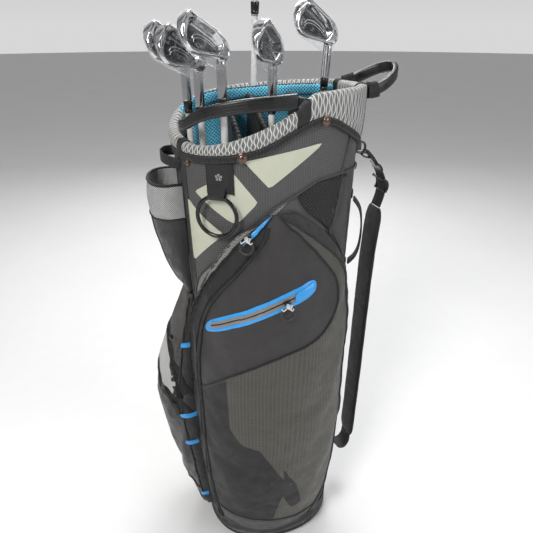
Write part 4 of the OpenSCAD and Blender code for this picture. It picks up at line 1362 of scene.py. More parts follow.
def pull(name, node, p, q, face, body):
    """Rubber ring on a knotted cord that hangs from the slider's bridge."""
    m = frame_on(p, q, face)
    eye = np.array(m @ Vector((0, 0, PULL_OUT)))
    hub = eye - np.array((0, 0, PULL_DROP))
    x, y, z = (np.array(m.to_3x3().col[k]) for k in range(3))
    b = Build()
    t = turns(48)
    up_way = math.atan2(y[2], x[2])
    drop = np.cos(t - up_way)
    radius = RING_R * (1 - 0.14 * np.clip(drop, 0, 1) ** 2)
    ring = hub + np.outer(np.cos(t) * radius, x) + np.outer(np.sin(t) * radius, y)
    b.tube(ring, 1.9 - 0.3 * drop, 10, closed=True)
    piece = b.done(name + "_ring", M_RING, body, "apparel_zip_pull")
    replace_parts(piece, node)
    side = np.cross((0, 0, 1), z)
    side /= np.linalg.norm(side)
    cord = Build()
    knot = eye - np.array((0, 0, 3.6)) + z * 0.6
    for sign in (-1, 1):
        turn = up_way + sign * 0.85
        hold = hub + (x * math.cos(turn) + y * math.sin(turn)) * RING_R * 0.95
        away = (hold - hub) / np.linalg.norm(hold - hub)
        line = spline([hold - z * 2.4, hold + away * 2.3, hold + z * 2.4 - away * 0.4,
                       (hold + knot) / 2 + z * 1.8, knot + side * sign * 0.7,
                       eye + side * sign * 1.4 + z * 0.3,
                       eye - z * 1.8 + side * sign * 0.3 + np.array((0, 0, 0.8))], 6)
        cord.tube(line, CORD_R, 8)
    s = turns(24)
    for spin, reach in ((0.35, 3.4), (-0.5, 3.0)):
        way = side * math.cos(spin) + np.array((0, 0, math.sin(spin)))
        rise = np.cross(z, way)
        loop = knot + way * reach + np.outer(np.cos(s) * reach, way) + np.outer(np.sin(s) * 1.5, rise)
        loop = loop + z * 0.8
        cord.tube(loop, CORD_R * 0.9, 8, closed=True)
    band = turns(16)
    cord.tube(knot + np.outer(np.cos(band) * 1.5, side) + np.outer(np.sin(band) * 1.3, z), CORD_R, 8,
              closed=True)
    cord.done(name + "_cord", M_CORD, body, "apparel_zip_pull")


def slider_frame(node, joint, face):
    """Middle of a packed slider's base, and a second point further along its zip."""
    x = Vector(next(j["axis"] for j in frame["joints"] if j["name"] == joint)).normalized()
    face = Vector(face)
    z = (face - x * face.dot(x)).normalized()
    low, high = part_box(node)
    p = (low + high) / 2 / MM - z * SLIDER_HALF
    return p, p + x * 10


# The way each slider faces
SLIDERS = {"apparel": (-0.6, -0.78, 0.1), "dry": (-0.1, -0.99, 0.1), "ball": (-1, -0.6, 0),
           "upper": (-1, -0.6, 0.4), "far": (0, 1, 0)}
SLIDER_HALF = 2.2
for tag, face in SLIDERS.items():
    p, q = slider_frame(f"{tag}_zip_slider", f"{tag}_zip_slide", face)
    slider(f"{tag}_slider", f"{tag}_zip_slider", p, q, face, f"{tag}_slider_body", "apparel_zip_slider")
    if tag in ("apparel", "dry"):
        pull(f"{tag}_pull", f"{tag}_zip_pull", p, q, face, f"{tag}_pull_body")


# ---- Mesh panel, drink pouch and front pockets ----
mesh_pouch = Pouch([[622, 314.5], [650, 304.5], [684, 292], [716, 277], [740, 272], [758, 284]],
                   [[622, 318], [758, 311]], [[622, 0.5], [700, 5], [758, 1]], blur=4)
rows, _ = mesh_pouch.sheet(np.linspace(622, 758, 40), 24)
mesh_panel = Build().grid(rows).done("mesh_panel", [M_BLACK_MESH, M_FLANK], "bag", "mesh_pocket")
SEAM_Z, SEAM_X = (622, 648, 709, 764), (51, 57, 72, 87)
for face in mesh_panel.data.polygons:
    x, z = face.center.x / MM, face.center.z / MM
    face.material_index = int(x > np.interp(z, SEAM_Z, SEAM_X))
mesh_skin = Skin(mesh_panel)
thicken(mesh_panel, CLOTH_T)
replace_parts(mesh_panel, "mesh_pocket")
seam = [(float(near(np.interp(z, SEAM_Z, SEAM_X), z)), z) for z in np.linspace(626, 756, 32)]
seam = np.array([wall(a, z, 5) for a, z in seam])
piped = Build()
piped.tube(mesh_skin.over(seam, 0.9), 1.6, 7)
piped.stitches(mesh_skin.over(seam + np.array((3.8, 0, 0)), 0.4), *LONG)
piped.done("mesh_piping", M_PIPE_GREY, "bag", "mesh_pocket")

FRONT_LEFT = [[26, 142], [60, 138], [200, 134], [420, 134], [560, 140]]
FRONT_RIGHT = [[26, 182], [60, 186], [200, 191], [420, 191], [560, 188]]
BALL_BULGE = [[26, 0.1], [50, 0.32], [60, 0.42], [90, 0.52], [140, 0.66], [200, 0.78], [270, 0.92],
              [330, 1], [380, 0.95], [420, 0.79], [440, 0.7], [480, 0.5], [520, 0.28], [554, 0.05]]
front_pouch = Pouch(FRONT_LEFT, FRONT_RIGHT, [[z, d * 78] for z, d in BALL_BULGE])
levels = np.concatenate([np.linspace(26, 60, 9)[:-1], np.linspace(60, 554, 96)])
FRONT_WIDE = 190.0
front_cloth = pocket_sheet(front_pouch, "front_pocket_cloth", [M_SOFT], "ball_pocket", levels, 6.0, 9.0, 0.03)
front_skin = Skin(front_cloth)
thicken(front_cloth, CLOTH_T)
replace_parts(front_cloth, "ball_pocket", "front_upper_pocket")


def on_front(points, out):
    points = np.asarray(points, float)
    return front_skin.over(front_pouch.at(points[..., 0] / FRONT_WIDE, points[..., 1]), out)


def broad(points):
    return [(u * FRONT_WIDE, z) for u, z in points]


# Zips slope down towards both sides of the pocket
UPPER_ZIP = [(0.03, 345), (0.07, 404), (0.14, 427), (0.22, 438), (0.36, 452), (0.5, 458), (0.64, 452),
             (0.78, 438), (0.86, 427), (0.93, 404), (0.965, 345)]
BALL_ZIP = [(0.04, 305), (0.06, 336), (0.11, 352), (0.2, 360), (0.35, 366), (0.5, 368), (0.65, 366),
            (0.8, 360), (0.89, 352), (0.94, 336), (0.958, 305)]
upper_line, ball_line = spline(broad(UPPER_ZIP), 8), spline(broad(BALL_ZIP), 8)
puffy = Build()
puffy.patch(np.concatenate([upper_line[::-1], ball_line]), on_front, 0.8, 1.2, 7, crown=1.6, soft=26)
puffy.done("front_silver_panel", M_SILVER, "bag", "front_upper_pocket", angle=50)
taupe = Build()
edge = broad([(0.03, 345), (0.04, 480), (0.07, 540), (0.3, 550), (0.7, 550), (0.93, 540), (0.96, 480),
              (0.965, 345)])
taupe.patch(np.concatenate([upper_line, spline(edge, 5)[::-1]]), on_front, 0.6, 1.0, 7)
taupe.done("front_upper_panel", M_TAUPE, "bag", "front_upper_pocket", angle=50)
zip_run("upper_zip", "front_upper_pocket", resample(upper_line, 2.4, False), on_front, 15, 1.6)
zip_run("ball_zip", "ball_pocket", resample(ball_line, 2.4, False), on_front, 15, 1.6)
pipes = Build()
for line in (upper_line + (0, 8.5), upper_line - (0, 8.5), ball_line + (0, 8.5), ball_line - (0, 8.5)):
    line = resample(line, 4.5, False)
    line = line[(line[:, 0] > 3) & (line[:, 0] < FRONT_WIDE - 3)]
    pipes.tube(on_front(line, 1.2), 1.3, 7)
for u in (0.035, 0.965):
    pipes.tube(on_front(broad([(u, z) for z in np.linspace(70, 545, 100)]), 1.0), 1.8, 7)
pipes.tube(on_front(broad([(u, 86 + 6 * math.sin(u * 3.1)) for u in np.linspace(0.03, 0.97, 60)]), 0.9), 1.5,
           7)
pipes.done("front_piping", M_PIPE, "bag", "ball_pocket")
stitched = Build()
for line in (upper_line + (0, 12.5), ball_line - (0, 12.5)):
    stitched.stitches(on_front(resample(line, 1.4, False), 1.1), *FINE)
stitched.done("front_stitches", M_THREAD_PALE, "bag", "ball_pocket")
tabs = Build()
for u, z in ((0.985, 459), (0.983, 305), (0.978, 237), (0.98, 74), (0.035, 459), (0.04, 305), (0.048, 237)):
    tabs.patch(rounded(broad([(u - 0.032, z - 4.5), (u + 0.032, z - 4.5), (u + 0.032, z + 4.5),
                              (u - 0.032, z + 4.5)]), 2.5),
               on_front, 3.0, 2.2, 3, crown=0.6, soft=3)
tabs.done("zip_tabs", M_BLUE, "bag", "ball_pocket", angle=50)

POUCH_LEFT, POUCH_RIGHT = [[560, 152], [640, 148], [745, 146]], [[560, 186], [640, 188], [745, 189]]
POUCH_DEPTH = [[556, 8], [600, 26], [660, 42], [710, 48], [745, 46]]
drink = Pouch(POUCH_LEFT, POUCH_RIGHT, POUCH_DEPTH)
levels = np.linspace(556, 745, 56)
drink_cloth = pocket_sheet(drink, "drink_pouch_cloth", [M_SOFT, M_SILVER_MESH, M_TAUPE], "drink_pouch",
                           levels, 3.0, 4.0, 0.02, 48, lambda u,
                           z: 1 if z > 690 else (2 if 0.3 < u < 0.72 else 0), lambda u, z: z > 738)
thicken(drink_cloth, 2.2)
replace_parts(drink_cloth, "drink_pouch")
drink_skin = Skin(drink_cloth)


def on_drink(points, out):
    points = np.asarray(points, float)
    return drink_skin.over(drink.at(points[..., 0] / 110, points[..., 1]), out)


pipes = Build()
u = np.linspace(0, 1, 60)
pipes.tube(drink.at(u, 745, -0.6), 2.2, 9)
pipes.tube(on_drink(np.stack([u * 110, 690 + 0 * u], -1), 0.7), 1.3, 7)
for share in (0.3, 0.72):
    pipes.tube(on_drink(np.stack([np.full(30, share * 110), np.linspace(562, 690, 30)], -1), 0.6), 1.1, 7)
pipes.done("drink_pouch_binding", M_BIND, "bag", "drink_pouch")
floor_ring = np.concatenate([drink.at(u, 560, -3), wall(np.linspace(186, 152, 30), 560, 1.2)])
pouch_floor = Build()
pouch_floor.cap(floor_ring)
pouch_floor.done("drink_pouch_floor", M_SOFT, "bag", "drink_pouch")
# Flat elastic loop that keeps a bottle upright above the pouch
loop_path = spline([wall(a, z, o) for a, z, o in ((189, 776, 1), (186, 778, 9), (179, 780, 20),
                                                  (169, 780, 24), (159, 780, 20), (152, 778, 9),
                                                  (149, 776, 1))], 8)
elastic = Build()
elastic.sweep(loop_path, pill(1.4, 16, 0.6, 3), up=(0, 0, 1))
elastic.done("bottle_elastic", M_WEB, "bag", "drink_pouch")


# ---- Glove tab and snaps ----
tab = Build()
tab.patch(rounded([(arc(220.6), 747), (arc(238.4), 747), (arc(238.4), 790), (arc(220.6), 790)], 1.5), on_tube,
          3.2, 2.9, 4, crown=0.5, soft=5)
tab_piece = tab.done("glove_tab_pile", M_PILE, "bag", "glove_tab", angle=50)
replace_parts(tab_piece, "glove_tab")
edging = Build()
for a in (220.4, 238.6):
    edging.sweep(wall(a, np.linspace(746, 790, 14), 2.6), pill(2.6, 2.2, 0.9, 3), up=tuple(outward(a)))
edging.stitches(wall(222.4, np.linspace(748, 789, 30), 3.9))
edging.stitches(wall(236.6, np.linspace(748, 789, 30), 3.9))
edging.done("glove_tab_edging", M_BIND, "bag", "glove_tab")
RING_A, RING_Z, RING_OUT = 228.5, 745, 10
n = np.array(outward(RING_A))
t = np.cross((0, 0, 1), n)
base = wall(RING_A, RING_Z, 3)
hinge = base + n * (RING_OUT - 3)
band = spline([base + (0, 0, 12) + n * 0.6, base + (0, 0, 8) + n * 5, hinge + n * 5.2 + (0, 0, 1),
               hinge - (0, 0, 5.4), base - (0, 0, 4) + n * 1.0, base + (0, 0, 4) + n * 0.4], 6)
loop = Build()
rows = [[p + t * w for w in (-12, -11.4, -6, 0, 6, 11.4, 12)] for p in band]
loop.grid(np.array(rows))
loop = loop.done("glove_tab_loop", M_PILE, "bag", "glove_tab")
thicken(loop, 1.4, 0)

# Generic flower-shaped mark in thread on the tab, in place of a printed sign
mark = Build()
for k in range(5):
    petal = []
    for s in turns(12):
        r = 3.4 * abs(math.sin(s / 2)) ** 0.7
        w = 1.3 * math.sin(s)
        c, q = math.cos(k * 2 * math.pi / 5 + 0.3), math.sin(k * 2 * math.pi / 5 + 0.3)
        petal.append((arc(229.5) + (1.2 + r) * c - w * q, 771 + (1.2 + r) * q + w * c))
    mark.tube(on_tube(np.array(petal), 4.0), 0.32, 5, closed=True)
mark.done("glove_tab_mark", M_CORD, "bag", "glove_tab")


def revolve(build, matrix, profile, sides=24, number=0):
    """Profile (height, radius) turned round the matrix's Z."""
    turnings = np.arange(sides) * 2 * math.pi / sides
    c, s = np.cos(turnings), np.sin(turnings)
    rows = [moved(matrix, np.stack([r * c, r * s, np.full(sides, z)], -1)) for z, r in profile]
    lengths = np.concatenate([[0], np.cumsum([math.dist(p, q) for p, q in zip(profile, profile[1:])])])
    round_it = np.linspace(0, 2 * math.pi * max(r for _, r in profile), sides + 1)
    return build.loft(rows, number, (round_it, lengths))


def out_frame(a, z, out):
    m = Vector(outward(a)).to_track_quat("Z", "Y").to_matrix().to_4x4()
    m.translation = Vector(wall(a, z, out))
    return m


domes, sockets = Build(), Build()
for a, z in ((200, 784), (245, 799), (286, 844), (335, 760), (74, 836), (160, 786)):
    m = out_frame(a, z, 6.0 if z > 790 else 4.4)
    lift = -0.2 if z > 790 else -3.9
    revolve(sockets, m, [(lift, 7.0), (lift + 0.8, 7.0), (lift + 1.2, 6.4), (lift + 1.2, 5.4)], 22)
    revolve(domes, m, [(lift + 1.0, 5.8), (lift + 1.7, 5.5), (lift + 2.7, 4.5), (lift + 3.3, 2.9),
                       (lift + 3.5, 1.2)], 22)
domes_piece = domes.done("snap_domes", M_BRONZE, "bag", "snap_studs", angle=50)
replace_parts(domes_piece, "snap_studs")
sockets.done("snap_rims", M_BRONZE, "bag", "snap_studs", angle=40)

# ---- Strap ----
STRAP_Y = -12


def ribbon(build, path, section, number=0, sections=None):
    """Section (along Y, across) carried along a path in a plane of constant Y."""
    path = np.asarray(path, float)
    step = np.gradient(path, axis=0)
    ahead = step / np.linalg.norm(step, axis=1, keepdims=True)
    normal = np.cross((0, 1, 0), ahead)
    normal /= np.linalg.norm(normal, axis=1, keepdims=True)
    section = np.asarray(section if sections is None else sections, float)
    if section.ndim == 2:
        section = np.broadcast_to(section, (len(path), *section.shape))
    rows = path[:, None] + np.array((0, 1, 0)) * section[..., :1] + normal[:, None] * section[..., 1:]
    build.loft(rows, number)
    return rows, normal


hook = Build()
hook_line = spline([(172.5, STRAP_Y, 771), (177, STRAP_Y, 767), (186, STRAP_Y, 757), (194, STRAP_Y, 746)], 6)
ribbon(hook, hook_line, pill(13, 6, 2, 4))
claw = spline([(178, STRAP_Y, 766), (171, STRAP_Y, 768.6), (164.6, STRAP_Y, 768), (165.5, STRAP_Y, 764.4),
               (172, STRAP_Y, 761), (180, STRAP_Y, 759)], 6)
ribbon(hook, claw, pill(8, 2.6, 1.1, 4))
ribbon(hook, spline([(192, STRAP_Y, 749), (196.5, STRAP_Y, 743), (198, STRAP_Y, 739)], 4),
       pill(34, 4, 1.8, 4))
piece = hook.done("strap_hook_body", M_GLOSS, "strap_body", "strap_hook", angle=45)
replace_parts(piece, "strap_hook")

upper = spline([(195, STRAP_Y, 744.5), (204, STRAP_Y, 728), (209, STRAP_Y, 712), (207, STRAP_Y, 692),
                (201, STRAP_Y, 672)], 8)
lower = spline([(183, STRAP_Y, 145), (181, STRAP_Y, 128), (172, STRAP_Y, 116), (160, STRAP_Y, 118),
                (150, STRAP_Y, 132)], 8)
web = Build()
ribbon(web, upper, pill(29, 2.6, 1.2, 4))
ribbon(web, lower, pill(36, 2.8, 1.2, 4), number=1)
piece = web.done("strap_webbing_run", [M_WEB, M_WEB_GREY], "strap_body", "strap_webbing")
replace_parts(piece, "strap_webbing")
stitched = Build()
for y in (-11, 11):
    stitched.stitches(upper[4:-4] + np.array((1.7, y, 0.6)), *PLAIN)
for x in (-15, 15):
    stitched.stitches(lower[4:-4] + np.array((1.4, x, -1.2)), *PLAIN)
stitched.done("strap_web_stitches", M_THREAD, "strap_body", "strap_webbing")
slide = Build()
for side in (-1, 1):
    bar_line = spline([(200.5, STRAP_Y + side * 17.4, 724), (208.5, STRAP_Y + side * 17.6, 718),
                       (210, STRAP_Y + side * 17.6, 708), (206.5, STRAP_Y + side * 17.4, 700)], 5)
    ribbon(slide, bar_line, pill(3.6, 4.6, 1.4, 4))
for x, z in ((201.5, 723), (211.6, 712), (207.5, 701)):
    slide.tube([(x, STRAP_Y - 17.5, z), (x, STRAP_Y + 17.5, z)], 1.7, 10)
piece = slide.done("strap_slide", M_GLOSS, "strap_body", "strap_hook", angle=45)
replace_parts(piece, "strap_adjuster")

pad_line = spline([(200.5, STRAP_Y, 670), (196, STRAP_Y, 620), (193, STRAP_Y, 560), (191, STRAP_Y, 473),
                   (189, STRAP_Y, 354), (186, STRAP_Y, 222), (183.2, STRAP_Y, 147)], 16)
pad_line = resample(pad_line, 5, False)
pad = Build()
k = np.linspace(0, 1, len(pad_line))
taper = np.clip(np.minimum(k, 1 - k) / 0.035, 0, 1) ** 0.5
base_shape = pill(46, 7.4, 3.0, 5)
sections = []
for i, s in enumerate(taper):
    quilt = 1 - 0.16 * math.exp(-(((i * 5.0) % 56 - 28) / 3.0) ** 2)
    shape = base_shape * np.array((0.62 + 0.38 * s, (0.45 + 0.55 * s) * quilt))
    shape[:, 1] += 0.5 * math.sin(i * 0.21)
    sections.append(shape)
rows, normal = ribbon(pad, pad_line, None, sections=np.array(sections))
piece = pad.done("strap_cushion", cloth("strap_cloth", (0.012, 0.012, 0.0125), 0.35, 0.7, 1.2, 0.5),
                 "strap_body", "strap_pad")
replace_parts(piece, "strap_pad")
binding = Build()
for side in (-1, 1):
    edge = pad_line + np.stack([0 * taper, side * 23 * (0.62 + 0.38 * taper), 0 * taper], -1)
    edge[:, 0] += 0.5 * np.sin(np.arange(len(edge)) * 0.21)
    binding.tube(edge, 2.1, 8)
    inner = pad_line + np.stack([0 * taper, side * 18 * (0.62 + 0.38 * taper), 0 * taper], -1)
    for lift in (3.9, -3.9):
        binding.stitches((inner + normal * lift)[4:-4])
binding.done("strap_cushion_edging", M_BIND, "strap_body", "strap_pad")

# Spine: anchor tab for the strap ring, grab handle and its bar tacks
HANDLE_A = 335
m = Matrix.Rotation(math.atan2(outward(HANDLE_A)[1], outward(HANDLE_A)[0]), 4, "Z")
b0 = wall(HANDLE_A, 650, 0)
m.translation = Vector((b0[0], b0[1], 0))
grab_line = spline([(4, 0, 592), (14, 0, 604), (20, 0, 622), (22, 0, 650), (20, 0, 678), (15, 0, 694),
                    (6, 0, 706)], 8)
step = np.gradient(grab_line, axis=0)
step /= np.linalg.norm(step, axis=1, keepdims=True)
grab = Build()
outs = np.cross((0, 1, 0), step)
shape = pill(24, 3.0, 1.2, 4)
rows = grab_line[:, None] + np.array((0, 1, 0)) * shape[:, :1] + outs[:, None] * shape[:, 1:]
rows = np.array([moved(m, r) for r in rows])
grab.loft(rows)
piece = grab.done("spine_grab", M_WEB, "bag", "spine_handle")
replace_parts(piece, "spine_handle")
tacks = Build()
TACK_Z, tack_at = (584, 708), float(arc(HANDLE_A))
for z0 in TACK_Z:
    tacks.patch(rounded([(tack_at + x, z) for x, z in ((-11, z0), (11, z0), (11, z0 + 12), (-11, z0 + 12))],
                        2),
                on_tube, 2.2, 2.3, 4)
tacks.done("spine_grab_ends", M_WEB, "bag", "spine_handle", angle=40)
tacks = Build()
for z0 in TACK_Z:
    left, right, low, high = tack_at - 9, tack_at + 9, z0 + 2, z0 + 10
    for line in ([(left, low), (right, low)], [(left, high), (right, high)], [(left, low), (right, high)],
                 [(left, high), (right, low)]):
        tacks.stitches(on_tube(resample(line, 2, False), 2.35), 2.4, 1.0, 0.4)
tacks.done("spine_grab_stitches", M_THREAD_PALE, "bag", "spine_handle")
anchor = Build()
ring_x = half_x(784)
anchor_line = [(ring_x + 1.0, STRAP_Y, 758), (ring_x + 2.2, STRAP_Y, 766), (ring_x + 5.4, STRAP_Y, 775)]
ribbon(anchor, spline(anchor_line, 5), pill(26, 2.2, 1, 4))
ribbon(anchor, spline([(ring_x + 0.9, STRAP_Y, 806), (ring_x + 2.4, STRAP_Y, 800),
                       (ring_x + 5.4, STRAP_Y, 792)], 5), pill(26, 2.2, 1, 4))
anchor.done("strap_anchor_tab", M_WEB, "bag", "strap_top_ring")
foot = Build()
base_x = half_x(132)
foot_line = spline([(base_x + 1.2, STRAP_Y, 168), (base_x + 1.4, STRAP_Y, 150), (base_x + 2.0, STRAP_Y, 138),
                    (base_x + 8, STRAP_Y, 131)], 6)
ribbon(foot, foot_line, pill(40, 2.2, 1, 4))
foot.done("strap_foot_tab", M_WEB_GREY, "bag", "strap_webbing")

# ---- Base: tread feet, a rim bead and the skirt tape above the tray ----
beads = Build()
turning = np.linspace(0, 360, 181)[:-1]


def base_ring(z, grow):
    r = np.radians(turning)
    return np.stack([(FOOT_X + grow) * spow(np.cos(r)), (FOOT_Y + grow) * spow(np.sin(r)),
                     np.full(len(r), float(z))], -1)


for z, grow, radius in ((46.6, 6.2, 1.3), (15.4, 6.0, 1.2), (30, 6.3, 0.7)):
    beads.tube(base_ring(z, grow), radius, 8, closed=True)
beads.done("tray_beads", M_MATT, "bag", "base_tray")
skirt = Build()
rows = [wall(turning, z, o) for z, o in ((46, 0.4), (46, 4.6), (52, 4.2), (57, 2.6), (60, 1.2), (60, 0.2))]
skirt.grid(np.array(rows), across=True)
skirt.done("tray_skirt", M_BIND, "bag", "base_tray")
pads = Build()
for a in range(0, 360, 30):
    c, s = math.cos(math.radians(a + 15)), math.sin(math.radians(a + 15))
    x, y = 104 * float(spow(c)), 94 * float(spow(s))
    m = Matrix.Translation((x, y, 0)) @ Matrix.Rotation(math.atan2(y, x), 4, "Z")
    ring = pill(10, 26, 4, 4)
    rows = [moved(m, np.concatenate([ring * k, np.full((len(ring), 1), z)], 1))
            for k, z in ((0.9, 0.05), (1, 0.6), (1, 3))]
    pads.grid(np.array(rows), across=True)
    pads.cap(rows[0][::-1])
pads.done("tray_pads", M_RUBBER, "bag", "base_tray", angle=40)

# ---- Clubs ----
CLUBS = (((-119, 12, 861), (-100, 14), 216, 28), ((-108, -28, 857), (-93, -25), 214, 26),
         ((-84, -67, 872), (-72, -62), 212, 32), ((-1, -30, 862), (-22, -30), 228, 12),
         ((100, 10, 886), (49, 5), 198, 22), ((2, 62, 994), (-28, 60), 75, 16))
BUTT_Z, GRIP_L, GRIP_R, HOSEL_R, HOSEL_L, FERRULE_L, SHAFT_END, LIE = 9, 265, 12.5, 6.8, 50, 17, 24, 28

GRIP_TOP, SHAFT_LOW, SHAFT_TOP = 9.2, 7.6, 4.7


def grip_radius(z):
    return GRIP_R + (GRIP_TOP - GRIP_R) * z / GRIP_L


def club_frame(k):
    """Z up the shaft, origin at the butt, and the shaft's length to the hosel's foot."""
    top, (x, y), toe, loft = CLUBS[k]
    foot = Vector((x, y, BUTT_Z))
    axis = Vector(top) - foot
    lean, way = math.acos(axis.normalized().z), math.atan2(axis.y, axis.x)
    m = Matrix.Rotation(way, 4, "Z") @ Matrix.Rotation(lean, 4, "Y") @ Matrix.Rotation(-way, 4, "Z")
    m.translation = foot
    return m, axis.length


def rotation(degrees, axis):
    return Matrix.Rotation(math.radians(degrees), 4, axis)


TOP_LINE = table([(-7, -4), (10, -8), (30, -16), (50, -24), (62, -26), (71, -23), (78, -14), (81, -5)], 2.0,
                 0.5)
SOLE_LINE = table([(-7, 8), (-2, 16), (8, 22), (24, 26), (44, 27.5), (62, 26), (74, 20), (80, 10), (81, 4)],
                  2.0, 0.5)
SOLE_W = 21


def blade_rows(loft):
    """Sections of the blade from heel to toe as (toe, sole, face) points."""
    depth = SOLE_W * math.cos(math.radians(loft))
    back = 25 - SOLE_W * math.sin(math.radians(loft)) * 0.6
    rows = []
    for x in np.concatenate([np.linspace(-6.8, 16, 13), np.linspace(18, 66, 17), np.linspace(68, 80.6, 12)]):
        yt, ys = float(TOP_LINE(x)), float(SOLE_LINE(x))
        tall = min(1.0, (ys - yt) / 40)
        d = depth * (0.45 + 0.55 * tall ** 0.8)
        yb = min(ys - 0.8, back)
        top, rim_w, floor = 5.6, 4.6, 3.8
        yc = min(np.interp(x, (12, 24, 60, 70), (7, 12, 13, 7)), yb - 6)
        c = float(np.clip((x - 7) / 6, 0, 1) * np.clip((73.5 - x) / 5, 0, 1))
        c = c * c * (3 - 2 * c)

        def solid(y):
            return np.interp(y, (yt, max(yt + 3, -10), yb - 7, yb), (top, max(top, 7.4), d - 1.0, d))

        pocket = ((yt + rim_w, top), (yt + rim_w + 0.9, floor), ((yt + yc) / 2, floor + 0.4), (yc, floor),
                  (yc + 1.2, floor + 1.4), (yc + 3.4, d - 1.2), (yc + 4.6, d - 0.3))
        middle = [(y, z * c + float(solid(y)) * (1 - c)) for y, z in pocket]
        outline = [(ys - 0.7, 0), (yt + 0.9, 0), (yt, 0.9), (yt, top - 0.9), (yt + 0.9, top), *middle,
                   (yb - 1, d), (yb, d - 1), ((ys + yb) / 2 + 1.0, d / 2), (ys + 0.1, 1.6), (ys, 0.7)]
        rows.append([(x, y, -z) for y, z in outline])
    return np.array(rows)


def fused(piece, voxel, smoothing):
    """One cast surface: remeshed and smoothed, so that the neck flows into the blade."""
    for kind, options in (("REMESH", {"mode": "VOXEL", "voxel_size": voxel * MM}),
                          ("SMOOTH", {"factor": 0.5, "iterations": smoothing})):
        made = piece.modifiers.new(kind.lower(), kind)
        for key, value in options.items():
            setattr(made, key, value)
    solved = piece.evaluated_get(bpy.context.evaluated_depsgraph_get())
    mesh = bpy.data.meshes.new_from_object(solved)
    piece.modifiers.clear()
    piece.data = mesh
    return mesh


def dress(mesh, local, materials, choose, flat):
    """Materials and weave by place in the head's own frame: choose and flat say which and where."""
    layer = mesh.uv_layers.get("weave") or mesh.uv_layers.new(name="weave")
    mesh.materials.clear()
    for material in materials:
        mesh.materials.append(material)
    spots = [local @ (v.co / MM) for v in mesh.vertices]
    turned = local.to_3x3()
    for p in mesh.polygons:
        p.use_smooth = True
        middle = sum((spots[i] for i in p.vertices), Vector()) / len(p.vertices)
        p.material_index = choose(turned @ p.normal, middle)
        for i in p.loop_indices:
            layer.data[i].uv = flat(spots[mesh.loops[i].vertex_index])


def claim(piece, club):
    """A head rides on its club and stands for the CAD's head."""
    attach(piece, club)
    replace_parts(piece, f"{club}_head")


def blade_part(normal, place):
    """Material number: 1 on the face, 2 in the pocket of the back, 0 elsewhere."""
    if normal.z > 0.93 and place.x > -2 and place.z > -1.2:
        return 1
    in_pocket = (normal.z < -0.6 and place.z > -6.2 and 9 < place.x < 73
                 and place.y > float(TOP_LINE(place.x)) + 5)
    return 2 if in_pocket else 0


def iron(k):
    """Cavity-back iron: blade and neck cast as one, a plate in the pocket, and its wrap."""
    m, length = club_frame(k)
    toe, loft = CLUBS[k][2:]
    blade = m @ Matrix.Translation((0, 0, length + HOSEL_L + 2)) @ rotation(toe, "Z") @ rotation(90, "X") \
        @ rotation(LIE, "Z") @ rotation(loft, "X")
    rows = np.array([moved(blade, r) for r in blade_rows(loft)])
    b = Build().loft(rows)
    neck = m @ Matrix.Translation((0, 0, length))
    revolve(b, neck, [(0, HOSEL_R), (HOSEL_L - 6, HOSEL_R), (HOSEL_L + 2, HOSEL_R - 0.3),
                      (HOSEL_L + 5, HOSEL_R - 2.5)], 28)
    club = f"club{k + 1}"
    piece = b.done(f"{club}_iron", M_CHROME, None, weld=0)
    mesh = fused(piece, 0.85, 5)
    dress(mesh, blade.inverted(), (M_CHROME, M_FACE, M_SATIN), blade_part, lambda s: (s.x, s.y))
    claim(piece, club)
    back_plate(club, blade)
    shrink_wrap(k, club, blade, neck, rows)


def back_plate(club, blade):
    """Plate set into the pocket of the back, with two raised ribs."""
    def place(points, out):
        points = np.asarray(points, float)
        z = -4.2 - np.broadcast_to(out, len(points))
        return moved(blade, np.stack([points[:, 0], points[:, 1], z], -1))

    badge = Build()
    outline = rounded([(14, -2), (15, 7), (26, 10.5), (58, 11), (67, 6), (68.5, -6), (62, -14.5), (52, -15),
                       (30, -7.5)], 5)
    badge.patch(outline, place, 0.9, 1.0, 4, crown=0.9, soft=9)
    badge.done(f"{club}_badge", M_BADGE, club, "club_head", angle=50)
    ridge = Build()
    line = spline([(18, 3), (30, 5.5), (45, 4.5), (57, -1), (62, -9)], 6)
    for shift, radius in ((0, 1.0), ((-1, -4.2), 0.6)):
        ridge.tube(place(line + np.array(shift), np.full(len(line), 1.7)), radius, 8)
    ridge.done(f"{club}_ridge", M_CHROME, club, "club_head")


